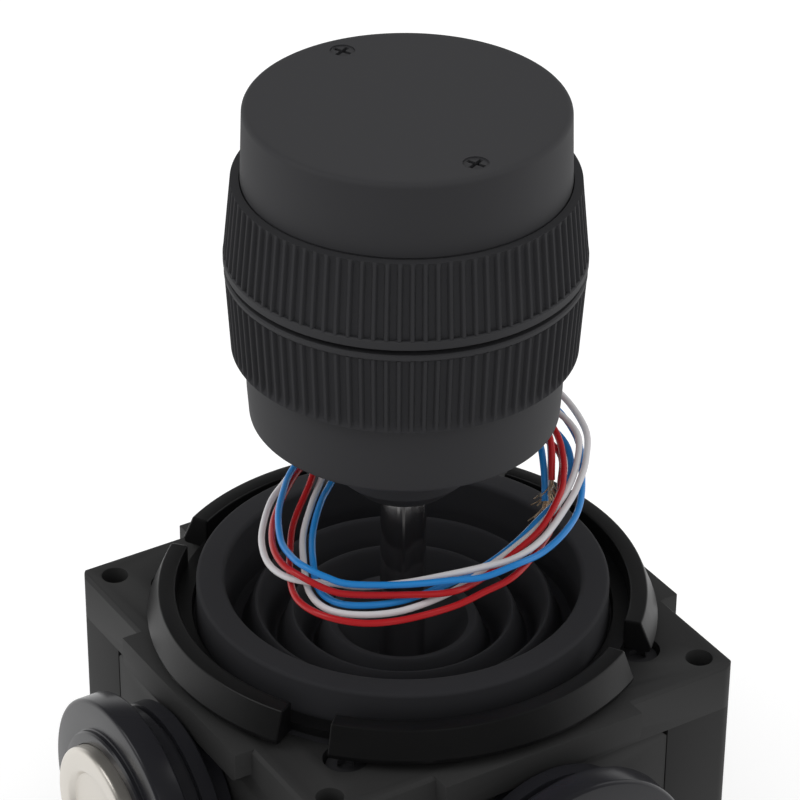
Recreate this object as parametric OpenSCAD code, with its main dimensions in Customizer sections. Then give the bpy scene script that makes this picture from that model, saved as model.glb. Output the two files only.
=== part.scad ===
// Three-axis twist-knob joystick with a potentiometer on each axis.
// Origin: centre of the four panel holes, on the top face of the plate. +Z points up the stick.

/* [Plate and housing] */
// Spacing of the panel holes along X and along Y
hole_pitch = 56; // [54:1:58]
// Width of the square plate and of the housing below it
plate_w = 63.1; // [62.6:0.1:64]
// Depth of the housing below the top of the plate
housing_h = 38; // [38:0.5:42]
// Diameter of the panel holes
panel_hole_d = 3.6; // [3.2:0.1:4.2]

/* [Ring and boot] */
// Top of the segmented ring above the plate
ring_h = 5.4; // [5:0.1:6]
// Width of each gap between the ring's segments, in degrees
gap_angle = 11.6; // [9:0.2:14]
// Turn of the ring's first gap about the stick, in degrees
gap_turn = -54; // [-60:1:-50]
// Top of the boot's bead above the plate
bead_h = 7.1; // [6.5:0.1:7.5]
// Number of folds in the boot
folds = 3; // [3]

/* [Stick and knob] */
// Diameter of the steel shaft
shaft_d = 6; // [6]
// Top of the knob above the plate
knob_top = 75.8; // [75:0.1:77]
// Lower edge of the knob above the plate
knob_low = 32.4; // [32:0.1:33]
// Number of ribs round each grip sleeve
ribs = 90; // [60:1:96]
// Height of the ribs
rib_h = 0.5; // [0.3:0.05:0.6]

/* [Potentiometers] */
// Diameter of the side potentiometers
pot_d = 32.4; // [30:0.1:32.4]
// Diameter of the metal end cap on each side potentiometer
pot_cap_d = 21; // [18:0.5:22]

/* [Hidden] */

$fn = 96;
e = 0.01;            // overshoot of a cutter past the face it opens
run = 0.05;          // radial clearance of a turning pin in its bore
half_w = plate_w / 2;
hole_at = hole_pitch / 2;
shaft_r = shaft_d / 2;

// The two tilt axes cross here, on the stick's own axis
pivot_z = -16;

// Plate, posts and windows
plate_t = 6.7;
pad_w = 29.6;
pad_h = 4.3;
pad_out = 2.4;
pad_r = 1;
mouth_r = 25.3;
post_at = 20.9;      // a post fills from here to the outer face, along X and along Y
screw_at = 22.3;     // plate screws, on the diagonals
cover_t = 2.5;
cover_hole_at = 26.4;
rim_h = 3.5;         // rim of the housing under each window

// Side panels
panel_t = 3;
panel_out = half_w - 0.06;
panel_in = panel_out - panel_t;
panel_low = -housing_h + cover_t + rim_h;
panel_high = -plate_t;
panel_w = 2 * (post_at - 0.1);
tongue_t = 1.4;
tongue_w = 1.4;

// Gimbal and bail
frame_x = 13.5;
frame_y = 11;
frame_wall = 3.5;
frame_h = 7;
boss_r = 5;
boss_end = 16.7;
shaft_in = 10.6;     // the tilt shafts start this far from the stick's axis
pin_r = 1.5;
bail_in = 14.5;
bail_out = 16.7;
bail_w = 9.4;
roller_r = 2.6;
slot_half = roller_r + 0.35;
slot_reach = 31;     // half of the slot's length, in degrees
tail_r = 1.9;
tail_at = (bail_in + bail_out) / 2;

// Centring springs: both legs straddle a fixed peg and a moving peg
arm_near = 16.8;
arm_t = 2;
peg_r = 1;
moving_peg_at = 9.3;
fixed_peg_at = 12.5;
spring_near = 19.6;
spring_far = 25;
spring_mean_r = 6.2;
spring_wire_r = 0.55;
spring_leg = 14;

// Potentiometers on the sides
pot_neck_r = 13.3;
pot_neck_end = 39.8;
pot_end = 43.6;
pot_cap_end = 46.4;
bushing_r = 4.7;
bushing_end = 26;

// Knob, from its lower edge up
knob_top_r = 20.2;
seat_r = 20.5;       // both shells behind the grip sleeves
lower_grip_z = 42.6;
lower_rim_z = 53.1;
split_z = 53.9;
upper_rim_z = 55.1;
upper_grip_z = 55.9;
shoulder_z = 66;
knob_bore_r = 17.6;
floor_t = 2.6;
cap_t = 3;
cap_screw_at = 16.7;
cap_screw_turn = -3;
hub_r = 9;
hub_low = 21.5;
hub_flange_r = 12;
hub_flange_z = 36.1;
hub_top = 39;
bracket_r = 11;
bracket_top = 52;
cap_ceiling = knob_top - cap_t;
coupling_z = 61.5;
coupling_screw_z = 65;
fixed_twist_peg = 9.4;
moving_twist_peg = 12.5;

/* helpers */
module along_x() { rotate([0, 90, 0]) children(); }
module along_y() { rotate([-90, 0, 0]) children(); }
module at_pivot() { translate([0, 0, pivot_z]) children(); }
module corners(at) { for (x = [-at, at], y = [-at, at]) translate([x, y, 0]) children(); }
module four_sides() { for (i = [0 : 3]) rotate(90 * i) children(); }
// Places a piece that points along +X from the stick's axis on the -X side or on the -Y side
module on_x_side() { at_pivot() rotate(180) children(); }
module on_y_side() { at_pivot() rotate(-90) children(); }
module rod_x(r, from, to) { translate([from, 0, 0]) along_x() cylinder(r = r, h = to - from); }
module tube_z(r_out, r_in, from, to) {
    translate([0, 0, from]) difference() {
        cylinder(r = r_out, h = to - from);
        translate([0, 0, -e]) cylinder(r = r_in, h = to - from + 2 * e);
    }
}
module rounded_square(w, r) {
    translate([-w / 2 + r, -w / 2]) square([w - 2 * r, w]);
    translate([-w / 2, -w / 2 + r]) square([w, w - 2 * r]);
    for (x = [-1, 1], y = [-1, 1]) translate([x * (w / 2 - r), y * (w / 2 - r)]) circle(r = r, $fn = 48);
}
// A wedge of the plane between two angles
module wedge(mid, width, r) {
    rotate(mid) polygon([[0, 0], [r, -r * tan(width / 2)], [r, r * tan(width / 2)]]);
}

/* housing */
module housing() {
    color([0.07, 0.07, 0.075]) difference() {
        union() {
            translate([0, 0, -housing_h]) linear_extrude(housing_h - plate_t) difference() {
                rounded_square(plate_w, 2);
                square(2 * post_at, center = true);
                four_sides() translate([post_at - 1, -post_at]) square([half_w, 2 * post_at]);
            }
            corners(screw_at) translate([0, 0, -housing_h + cover_t])
                cylinder(r = 3, h = housing_h - plate_t - cover_t);
            translate([0, 0, -housing_h]) linear_extrude(cover_t + rim_h) difference() {
                rounded_square(plate_w, 2);
                square(2 * panel_in - 1.6, center = true);
            }
        }
        translate([0, 0, -housing_h - e]) linear_extrude(cover_t + e) rounded_square(plate_w - 4.4, 1);
        corners(hole_at) translate([0, 0, -16]) cylinder(d = panel_hole_d, h = 16);
        corners(screw_at) translate([0, 0, -16]) cylinder(r = 1.25, h = 16, $fn = 32);
        corners(cover_hole_at) translate([0, 0, -housing_h + cover_t - e])
            cylinder(r = 1, h = 8, $fn = 32);
        four_sides() tongue_slots();
    }
}
// Slots in two neighbouring posts, in which a panel's tongues slide down
module tongue_slots() {
    for (s = [-1, 1]) translate([panel_in + 0.1, s * (post_at + 0.6), panel_low])
        translate([0, -1.1, 0]) cube([tongue_t + 0.2, 2.2, housing_h]);
}

module top_plate() {
    color([0.07, 0.07, 0.075]) difference() {
        union() {
            translate([0, 0, -plate_t]) linear_extrude(plate_t) rounded_square(plate_w, 2);
            four_sides() pad();
        }
        translate([0, 0, -plate_t - e]) cylinder(r = mouth_r, h = plate_t + 2 * e, $fn = 128);
        corners(hole_at) translate([0, 0, -plate_t - e]) cylinder(d = panel_hole_d, h = plate_t + 2 * e);
        corners(screw_at) {
            translate([0, 0, -plate_t - e]) cylinder(r = 1.65, h = plate_t + 2 * e, $fn = 32);
            translate([0, 0, -2.4]) cylinder(r = 2.9, h = 3, $fn = 48);
        }
        four_sides() edge_chamfer();
    }
}
// Rounded pad on the upper edge of each side, which carries the overhanging ring
module pad() {
    translate([half_w - 1, -pad_w / 2, -pad_h]) along_x() linear_extrude(1 + pad_out)
        translate([-pad_h, 0]) pad_outline();
}
module pad_outline() {
    translate([0, pad_r]) square([pad_h, pad_w - 2 * pad_r]);
    translate([0, 0]) square([pad_h - pad_r, pad_w]);
    for (y = [pad_r, pad_w - pad_r]) translate([pad_h - pad_r, y]) circle(r = pad_r, $fn = 32);
}
module edge_chamfer() {
    c = 0.45;
    for (s = [-1, 1]) translate([half_w, s * (half_w + pad_w / 2) / 2, 0]) rotate([90, 0, 0])
        translate([0, 0, -half_w / 2 + pad_w / 4]) linear_extrude(half_w - pad_w / 2)
            polygon([[-c, 0.1], [0.1, 0.1], [0.1, -c], [0, -c], [-c, 0]]);
}

module plate_screws() {
    color([0.25, 0.25, 0.26]) corners(screw_at) {
        translate([0, 0, -14]) cylinder(r = 1.25, h = 12, $fn = 32);
        translate([0, 0, -2.4]) difference() {
            cylinder(r = 2.5, h = 1.5, $fn = 48);
            translate([0, 0, 0.8]) cylinder(r = 1.2, h = 1, $fn = 6);
        }
    }
}

module bottom_cover() {
    color([0.09, 0.09, 0.095]) translate([0, 0, -housing_h]) difference() {
        linear_extrude(cover_t) rounded_square(plate_w - 4.6, 0.9);
        corners(cover_hole_at) {
            translate([0, 0, -e]) cylinder(r = 1.4, h = cover_t + 2 * e, $fn = 32);
            translate([0, 0, -e]) cylinder(r = 2.5, h = 1.3, $fn = 32);
        }
    }
}
module cover_screws() {
    color([0.55, 0.55, 0.56]) corners(cover_hole_at) translate([0, 0, -housing_h]) {
        translate([0, 0, 0.2]) difference() {
            cylinder(r = 2.2, h = 1.05, $fn = 32);
            translate([0, 0, -e]) cylinder(r = 1, h = 0.6, $fn = 6);
        }
        translate([0, 0, 1]) cylinder(r = 1, h = 8, $fn = 32);
    }
}

/* ring and boot */
ring_in = 29.8;
ring_top_r = 32.2;
ring_low_r = 33.6;
ring_low_z = 1.8;
ring_foot_r = 31.3;
clamp_in = 27.6;
flange_t = 1.2;
clamp_h = 2.4;
module boot_ring_profile() {
    polygon([[clamp_in, flange_t + 0.05], [ring_in, flange_t + 0.05], [ring_in, 0], [ring_foot_r, 0],
        [ring_foot_r, 0.9], [ring_low_r - 0.4, 0.9], [ring_low_r, ring_low_z],
        [ring_top_r + 0.15, ring_h - 0.3], [ring_top_r - 0.15, ring_h], [ring_in + 0.2, ring_h],
        [ring_in, ring_h - 0.2], [ring_in, clamp_h], [clamp_in, clamp_h]]);
}
module boot_ring() {
    color([0.1, 0.1, 0.105]) difference() {
        rotate_extrude($fn = 128) boot_ring_profile();
        difference() {
            translate([0, 0, -e]) linear_extrude(ring_h + 1) for (i = [0 : 3])
                wedge(gap_turn + 90 * i, gap_angle, 40);
            translate([0, 0, -1]) cylinder(r = ring_in, h = ring_h + 3, $fn = 128);
        }
    }
}

// The boot: a bead, round folds that step down to the shaft, and a collar that grips it
bead_out = 27.1;
bead_in = 23.3;
boot_t = 1;
fold_pitch = 4.8;
first_fold_r = 9.6;
fold_depth = 5.2;
fold_rise = 0.31;
neck_r = 4.4;
neck_bore = shaft_r + run;
collar_top = -7.6;
collar_low = -11.4;
outer_valley_r = first_fold_r + (folds - 0.5) * fold_pitch;
function fold_z(r) = fold_rise * (r - first_fold_r)
    - fold_depth * (1 - cos(360 * (r - first_fold_r) / fold_pitch)) / 2;
fold_rs = [for (i = [0 : 30]) first_fold_r + i * (outer_valley_r - first_fold_r) / 30];
module boot() {
    upper = concat([[neck_bore, collar_top], [neck_r, collar_top], [first_fold_r - 1, -1.2]],
        [for (r = fold_rs) [r, fold_z(r)]],
        [[bead_in, fold_z(outer_valley_r) + 1.6], [bead_in, bead_h - 0.6], [bead_in + 0.6, bead_h]]);
    lower = [for (i = [30 : -1 : 0]) [fold_rs[i], fold_z(fold_rs[i]) - boot_t]];
    color([0.12, 0.12, 0.125]) rotate_extrude($fn = 128) polygon(concat(upper,
        [[bead_out - 0.5, bead_h], [bead_out, bead_h - 0.5], [bead_out, flange_t], [29.5, flange_t],
        [29.5, 0], [24.6, 0], [24.6, fold_z(outer_valley_r) - boot_t]], lower,
        [[first_fold_r - 1.6, -2.2], [neck_r + 0.4, -9.6], [neck_r, collar_low],
        [neck_bore, collar_low]]));
}

/* side panels and potentiometers */
module panel_blank() {
    difference() {
        union() {
            translate([panel_in, -panel_w / 2, panel_low - pivot_z])
                cube([panel_t, panel_w, panel_high - panel_low]);
            translate([panel_in + 0.2, -panel_w / 2 - tongue_w, panel_low - pivot_z])
                cube([tongue_t, panel_w + 2 * tongue_w, panel_high - panel_low]);
        }
        // small relief in the upper outer corners
        for (s = [-1, 1]) translate([panel_in + 1.7, s * panel_w / 2, panel_high - pivot_z]) along_x()
            rotate(45) translate([-0.6, -0.6]) cube([1.2, 1.2, 2]);
    }
}
module pot_panel() {
    difference() {
        panel_blank();
        rod_x(bushing_r, panel_in - e, panel_out + e);
    }
    translate([0, 0, -fixed_peg_at]) rod_x(peg_r, spring_near - 0.1, panel_in + e, $fn = 32);
}
module bearing_panel() {
    difference() {
        union() {
            panel_blank();
            rod_x(8, panel_in, panel_out + 1.2);
        }
        rod_x(5, panel_in - e, panel_out + 2);
    }
}
module bush() {
    difference() {
        union() {
            rod_x(5, panel_in - 0.1, panel_out + 0.8);
            rod_x(6.4, panel_in - 1.3, panel_in);
        }
        rod_x(shaft_r + run, panel_in - 2, panel_out + 2);
    }
}
// Black case: a root under the plate's pad, a disc with a fine groove, a wider drum and a bushing
pot_root_r = 11.2;
pot_disc = half_w + pad_out + 0.35;
terminal_at = 35;
terminal_t = 0.6;
module pot_body() {
    difference() {
        along_x() rotate_extrude() polygon([[0, pot_end - 3.4], [0, pot_end + 0.9], [11.6, pot_end + 0.9],
            [12.1, pot_end + 0.4], [12.1, pot_end], [pot_d / 2 - 0.4, pot_end],
            [pot_d / 2, pot_end - 0.4],
            [pot_d / 2, pot_neck_end + 0.4], [pot_d / 2 - 0.4, pot_neck_end], [pot_neck_r, pot_neck_end],
            [pot_neck_r, 37.3], [pot_neck_r - 0.8, 37.3], [pot_neck_r - 0.8, 36.7], [pot_neck_r, 36.7],
            [pot_neck_r, pot_disc], [pot_root_r, pot_disc], [pot_root_r, panel_out + 0.4],
            [7.5, panel_out + 0.4], [7.5, panel_out], [bushing_r, panel_out], [bushing_r, bushing_end],
            [shaft_r + run, bushing_end], [shaft_r + run, pot_end - 3.4]]);
        rod_x(pot_cap_d / 2, pot_end - 0.4, pot_end + 2);
        terminal_places() translate([terminal_at - run, -1.3 - run, -pot_neck_r - 1])
            cube([terminal_t + 2 * run, 2.6 + 2 * run, 2.2]);
    }
}
module terminal_places() { for (a = [-26, 0, 26]) rotate([a, 0, 0]) children(); }
module pot_cap() {
    along_x() rotate_extrude() polygon([[0, pot_end - 0.4], [pot_cap_d / 2, pot_end - 0.4],
        [pot_cap_d / 2, pot_cap_end - 0.7], [pot_cap_d / 2 - 0.7, pot_cap_end], [7.4, pot_cap_end],
        [6.8, pot_cap_end - 0.8], [0, pot_cap_end - 0.8]]);
}
module pot_nut() {
    difference() {
        rod_x(6.9, bushing_end + 0.2, panel_in, $fn = 6);
        rod_x(bushing_r, bushing_end, panel_in + e);
    }
}
module terminals() {
    terminal_places() difference() {
        translate([terminal_at, -1.3, -19.4]) cube([terminal_t, 2.6, 19.4 - pot_neck_r + 1]);
        translate([terminal_at - e, 0, -17.8]) along_x() cylinder(r = 0.6, h = 0.7, $fn = 24);
    }
}

module pot_panel_x() { color([0.08, 0.08, 0.085]) on_x_side() pot_panel(); }
module pot_panel_y() { color([0.08, 0.08, 0.085]) on_y_side() pot_panel(); }
module bearing_panel_x() { color([0.08, 0.08, 0.085]) at_pivot() bearing_panel(); }
module bearing_panel_y() { color([0.08, 0.08, 0.085]) at_pivot() rotate(90) bearing_panel(); }
module bush_x() { color([0.7, 0.55, 0.3]) at_pivot() bush(); }
module bush_y() { color([0.7, 0.55, 0.3]) at_pivot() rotate(90) bush(); }
module pot_body_x() { color([0.06, 0.06, 0.065]) on_x_side() pot_body(); }
module pot_body_y() { color([0.06, 0.06, 0.065]) on_y_side() pot_body(); }
module pot_cap_x() { color([0.8, 0.76, 0.7]) on_x_side() pot_cap(); }
module pot_cap_y() { color([0.8, 0.76, 0.7]) on_y_side() pot_cap(); }
module pot_nuts() {
    color([0.75, 0.73, 0.68]) {
        on_x_side() pot_nut();
        on_y_side() pot_nut();
    }
}
module pot_terminals() {
    color([0.8, 0.72, 0.45]) {
        on_x_side() terminals();
        on_y_side() terminals();
    }
}

/* gimbal: tilts about X in the housing */
module gimbal_frame() {
    color([0.62, 0.62, 0.64]) at_pivot() difference() {
        union() {
            cube([2 * frame_x, 2 * frame_y, frame_h], center = true);
            rod_x(boss_r, -boss_end, boss_end);
        }
        cube([2 * (frame_x - frame_wall), 2 * (frame_y - frame_wall), 3 * boss_r], center = true);
        rod_x(shaft_r, -boss_end - e, boss_end + e);
        along_y() cylinder(r = pin_r, h = 2 * frame_y + 1, center = true, $fn = 48);
    }
}
module gimbal_shaft() {
    color([0.78, 0.78, 0.8]) on_x_side() rod_x(shaft_r, shaft_in, pot_end - 4);
}
module gimbal_pin() {
    color([0.78, 0.78, 0.8]) at_pivot() rod_x(shaft_r, shaft_in, panel_out + 0.6);
}
module cross_pin() {
    color([0.78, 0.78, 0.8]) at_pivot() along_y()
        cylinder(r = pin_r, h = 2 * frame_y + 2.4, center = true, $fn = 48);
}
module pin_clips() {
    color([0.4, 0.4, 0.42]) at_pivot() for (s = [-1, 1]) translate([0, s * (frame_y + 0.35), 0]) along_y()
        difference() {
            cylinder(r = 2.9, h = 0.6, center = true, $fn = 48);
            cylinder(r = pin_r, h = 1, center = true, $fn = 48);
            translate([0, 2, 0]) cube([1.8, 4, 1], center = true);
        }
}
// Lever on a tilt shaft; its peg stands between the legs of the centring spring
module centring_arm() {
    difference() {
        union() {
            rod_x(boss_r, arm_near, arm_near + arm_t);
            translate([arm_near, -2, -moving_peg_at - 1.6]) cube([arm_t, 4, moving_peg_at + 1.6]);
            translate([0, 0, -moving_peg_at]) rod_x(peg_r, arm_near + e, spring_far + 0.8, $fn = 32);
        }
        rod_x(shaft_r, arm_near - e, arm_near + arm_t + e);
    }
}
module gimbal_arm() { color([0.66, 0.66, 0.68]) on_x_side() centring_arm(); }

/* bail: a slotted arch that turns about Y and follows the stick's tail */
module bail() {
    color([0.66, 0.66, 0.68]) at_pivot() difference() {
        union() {
            intersection() {
                along_x() rotate_extrude() translate([bail_in, -bail_w / 2])
                    square([bail_out - bail_in, bail_w]);
                translate([-bail_w, -20, -20]) cube([2 * bail_w, 40, 20]);
            }
            for (s = [-1, 1]) translate([0, s * (bail_out + 13.6) / 2, 0]) along_y()
                cylinder(r = boss_r, h = bail_out - 13.6, center = true);
        }
        along_y() cylinder(r = shaft_r, h = 60, center = true);
        intersection() {
            translate([-slot_half, -20, -20]) cube([2 * slot_half, 40, 20]);
            along_x() linear_extrude(2 * bail_w, center = true) wedge(0, 2 * slot_reach, 30);
        }
    }
}
module bail_shaft() { color([0.78, 0.78, 0.8]) on_y_side() rod_x(shaft_r, 13.6, pot_end - 4); }
module bail_pin() {
    color([0.78, 0.78, 0.8]) at_pivot() rotate(90) rod_x(shaft_r, 13.6, panel_out + 0.6);
}
module bail_arm() { color([0.66, 0.66, 0.68]) on_y_side() centring_arm(); }

/* springs: round wire swept along a helix that ends in two straight legs */
function unit(v) = v / norm(v);
function ring_at(p, t, r, n) = let (
        a = abs(t[2]) > 0.9 ? [1, 0, 0] : [0, 0, 1],
        u = unit(cross(a, t)),
        w = cross(t, u))
    [for (i = [0 : n - 1]) p + r * (cos(360 * i / n) * u + sin(360 * i / n) * w)];
function tangent(path, i) = unit(path[min(i + 1, len(path) - 1)] - path[max(i - 1, 0)]);
module sweep(path, r, n) {
    m = len(path);
    pts = [for (i = [0 : m - 1]) each ring_at(path[i], tangent(path, i), r, n)];
    sides = [for (i = [0 : m - 2], k = [0 : n - 1]) let (k2 = (k + 1) % n)
        each [[i * n + k, (i + 1) * n + k2, i * n + k2], [i * n + k, (i + 1) * n + k, (i + 1) * n + k2]]];
    ends = [[for (k = [0 : n - 1]) k], [for (k = [n - 1 : -1 : 0]) (m - 1) * n + k]];
    polyhedron(pts, concat(sides, ends));
}
// A torsion spring round X: both legs point along -Z, one on each side of the pegs
function spring_path(mean_r, near, far, turns, leg, gap) = let (
        start = -90 - asin(gap / mean_r),
        finish = -90 + asin(gap / mean_r) + 360 * turns,
        steps = ceil((finish - start) / 30))
    concat([[near, -gap, -leg]],
        [for (i = [0 : steps]) let (a = start + (finish - start) * i / steps)
            [near + (far - near) * i / steps, mean_r * cos(a), mean_r * sin(a)]],
        [[far, gap, -leg]]);
module centring_spring() {
    sweep(spring_path(spring_mean_r, spring_near + 0.6, spring_far - 0.6, 3, spring_leg,
        peg_r + spring_wire_r + 0.05), spring_wire_r, 6);
}
module centring_spring_x() { color([0.7, 0.7, 0.72]) on_x_side() centring_spring(); }
module centring_spring_y() { color([0.7, 0.7, 0.72]) on_y_side() centring_spring(); }

/* stick */
module shaft() {
    color([0.82, 0.8, 0.8]) difference() {
        union() {
            translate([0, 0, pivot_z - 9]) cylinder(r = shaft_r, h = hub_top - pivot_z + 9 - 0.6);
            translate([0, 0, pivot_z - tail_at - 1.4]) cylinder(r = tail_r, h = tail_at - 7, $fn = 48);
        }
        at_pivot() along_y() cylinder(r = pin_r + run, h = 10, center = true, $fn = 48);
    }
}
module pivot_block() {
    color([0.72, 0.72, 0.74]) at_pivot() difference() {
        union() {
            cube([11, 2 * (frame_y - frame_wall) - 0.6, frame_h - 0.4], center = true);
            translate([0, 0, -7]) cylinder(r = 5, h = 7);
        }
        translate([0, 0, -10]) cylinder(r = shaft_r, h = 20);
        along_y() cylinder(r = pin_r + run, h = 20, center = true, $fn = 48);
    }
}
module tail_roller() {
    color([0.92, 0.92, 0.9]) at_pivot() translate([0, 0, -tail_at]) difference() {
        sphere(r = roller_r, $fn = 48);
        cylinder(r = tail_r, h = 8, center = true, $fn = 48);
    }
}
// Fixed hub under the knob: the twist bearing turns on it and the leads leave through its back
lead_z = 29;
lead_turn = 58;
set_screw_r = 1.25;
set_screw_z = 28;
set_screw_turn = 140;
module knob_hub() {
    color([0.08, 0.08, 0.085]) difference() {
        rotate_extrude() polygon([[0, hub_low], [6.4, hub_low], [hub_r, hub_low + 2.6],
            [hub_r, hub_flange_z],
            [hub_flange_r, hub_flange_z], [hub_flange_r, hub_top], [0, hub_top]]);
        translate([0, 0, hub_low - e]) cylinder(r = shaft_r, h = hub_top - hub_low - 0.6);
        rotate(lead_turn) lead_outlet();
        translate([0, 0, set_screw_z]) rotate(set_screw_turn) rod_x(set_screw_r, 0, hub_r + 1, $fn = 32);
    }
}
// Outlet for the three leads
module lead_outlet() {
    translate([hub_r - 2.6, -2.1, lead_z - 0.9]) cube([4, 4.2, 1.8]);
}
module hub_set_screw() {
    color([0.3, 0.3, 0.31]) translate([0, 0, set_screw_z]) rotate(set_screw_turn) difference() {
        rod_x(set_screw_r, shaft_r, 7.6, $fn = 32);
        rod_x(0.7, 6.4, 8, $fn = 6);
    }
}
module pot_bracket() {
    color([0.6, 0.6, 0.62]) {
        tube_z(bracket_r, bracket_r - 1.4, hub_top, bracket_top - 1.6);
        tube_z(bracket_r, bushing_r, bracket_top - 1.6, bracket_top);
        translate([fixed_twist_peg, 0, bracket_top - e]) cylinder(r = peg_r, h = 8.6, $fn = 32);
    }
}
module twist_pot() {
    color([0.1, 0.12, 0.16]) difference() {
        union() {
            translate([0, 0, 41]) cylinder(r = 8, h = bracket_top - 1.6 - 41);
            translate([0, 0, 50]) cylinder(r = bushing_r, h = 6);
        }
        translate([0, 0, 51]) cylinder(r = shaft_r + run, h = 6);
    }
}
module twist_nut() {
    color([0.75, 0.73, 0.68]) translate([0, 0, bracket_top]) difference() {
        cylinder(r = 6.3, h = 2.2, $fn = 6);
        translate([0, 0, -e]) cylinder(r = bushing_r, h = 3);
    }
}
module twist_spring() {
    color([0.7, 0.7, 0.72]) rotate([0, -90, 0]) sweep(spring_path(6.9, 55.2, 60, 3, 13.6,
        peg_r + 0.6), 0.5, 6);
}

/* knob: turns about the stick */
module knob_screw_places() {
    for (s = [-1, 1]) rotate(90 * s + cap_screw_turn) translate([cap_screw_at, 0, 0]) children();
}
module knob_cap() {
    color([0.1, 0.1, 0.105]) difference() {
        union() {
            difference() {
                rotate_extrude($fn = 128) knob_cap_profile();
                difference() {
                    translate([0, 0, upper_rim_z - e])
                        cylinder(r = knob_bore_r, h = cap_ceiling - upper_rim_z);
                    knob_screw_places() translate([0, 0, upper_rim_z - 1])
                        cylinder(r = 3, h = 30, $fn = 48);
                    translate([0, 0, coupling_z]) cylinder(r = 6.5, h = 30);
                }
            }
            translate([moving_twist_peg, 0, 54.6])
                cylinder(r = peg_r, h = cap_ceiling - 54.6 + 0.5, $fn = 32);
        }
        translate([0, 0, coupling_z - e]) cylinder(r = shaft_r, h = 9);
        rotate(180) translate([0, 0, coupling_screw_z]) rod_x(set_screw_r, 0, 8, $fn = 32);
        knob_screw_places() {
            translate([0, 0, upper_rim_z - e])
                cylinder(r = 1.6, h = knob_top - upper_rim_z + 1, $fn = 32);
            translate([0, 0, knob_top - 1.7]) cylinder(r1 = 1.5, r2 = 2.9, h = 1.71, $fn = 48);
        }
    }
}
module knob_cap_profile() {
    polygon([[0, upper_rim_z], [22.5, upper_rim_z], [22.75, upper_rim_z + 0.25], [22.75, upper_grip_z],
        [seat_r, upper_grip_z], [seat_r, shoulder_z], [knob_top_r + 0.05, knob_top - 1.2],
        [knob_top_r - 0.15, knob_top - 0.35], [knob_top_r - 0.5, knob_top], [0, knob_top]]);
}
module knob_base() {
    color([0.1, 0.1, 0.105]) difference() {
        rotate_extrude($fn = 128) knob_base_profile();
        difference() {
            translate([0, 0, knob_low + floor_t]) cylinder(r = knob_bore_r, h = 30);
            knob_screw_places() cylinder(r = 3, h = 60, $fn = 48);
        }
        knob_screw_places() translate([0, 0, 43]) cylinder(r = 1.5, h = 20, $fn = 32);
    }
}
module knob_base_profile() {
    polygon([[10.5, knob_low], [19.2, knob_low], [19.65, knob_low + 0.25], [19.85, knob_low + 0.8],
        [20.25, lower_grip_z], [seat_r, lower_grip_z], [seat_r, lower_rim_z], [22.65, lower_rim_z],
        [22.65, split_z - 0.25], [22.4, split_z], [seat_r, split_z], [seat_r, upper_rim_z],
        [10.5, upper_rim_z]]);
}
// Ribbed sleeve, wider towards the split of the knob
module grip(z, h, r_low, r_high) {
    translate([0, 0, z]) difference() {
        linear_extrude(h, scale = r_high / r_low) rib_outline(r_low);
        translate([0, 0, -1]) cylinder(r = seat_r + 0.1, h = h + 2, $fn = 90);
    }
}
module rib_outline(r) {
    step = 360 / ribs;
    polygon([for (i = [0 : ribs - 1], k = [0 : 3]) let (
            a = step * (i + [-0.32, -0.1, 0.1, 0.32][k]),
            q = r - [rib_h, 0, 0, rib_h][k])
        [q * cos(a), q * sin(a)]]);
}
module upper_grip() {
    color([0.13, 0.13, 0.135]) grip(upper_grip_z, shoulder_z - upper_grip_z, 22.7, 21.7);
}
module lower_grip() {
    color([0.13, 0.13, 0.135]) grip(lower_grip_z, lower_rim_z - lower_grip_z, 21.95, 22.6);
}
module cap_screws() {
    color([0.15, 0.15, 0.16]) knob_screw_places() difference() {
        union() {
            translate([0, 0, 46]) cylinder(r = 1.5, h = knob_top - 46 - 1.6, $fn = 32);
            translate([0, 0, knob_top - 1.62]) cylinder(r1 = 1.5, r2 = 2.7, h = 1.5, $fn = 48);
        }
        for (a = [0, 90]) rotate(a + 20) translate([0, 0, knob_top]) cube([2.6, 0.7, 1.8], center = true);
    }
}
module twist_shaft() { color([0.82, 0.8, 0.8]) translate([0, 0, 51.4]) cylinder(r = shaft_r, h = 18.9); }
module coupling_screw() {
    color([0.3, 0.3, 0.31]) rotate(180) translate([0, 0, coupling_screw_z])
        rod_x(set_screw_r, shaft_r, 6.4, $fn = 32);
}
module knob_bush() {
    color([0.9, 0.88, 0.82]) {
        tube_z(10.5, hub_r + run, knob_low + 0.2, knob_low + floor_t + 0.01);
        tube_z(11.6, hub_r + run, knob_low + floor_t, knob_low + floor_t + 1);
    }
}

/* leads: each leaves the hub's back, makes two loose turns round the stick and ends bare */
wire_r = 0.45;
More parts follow.
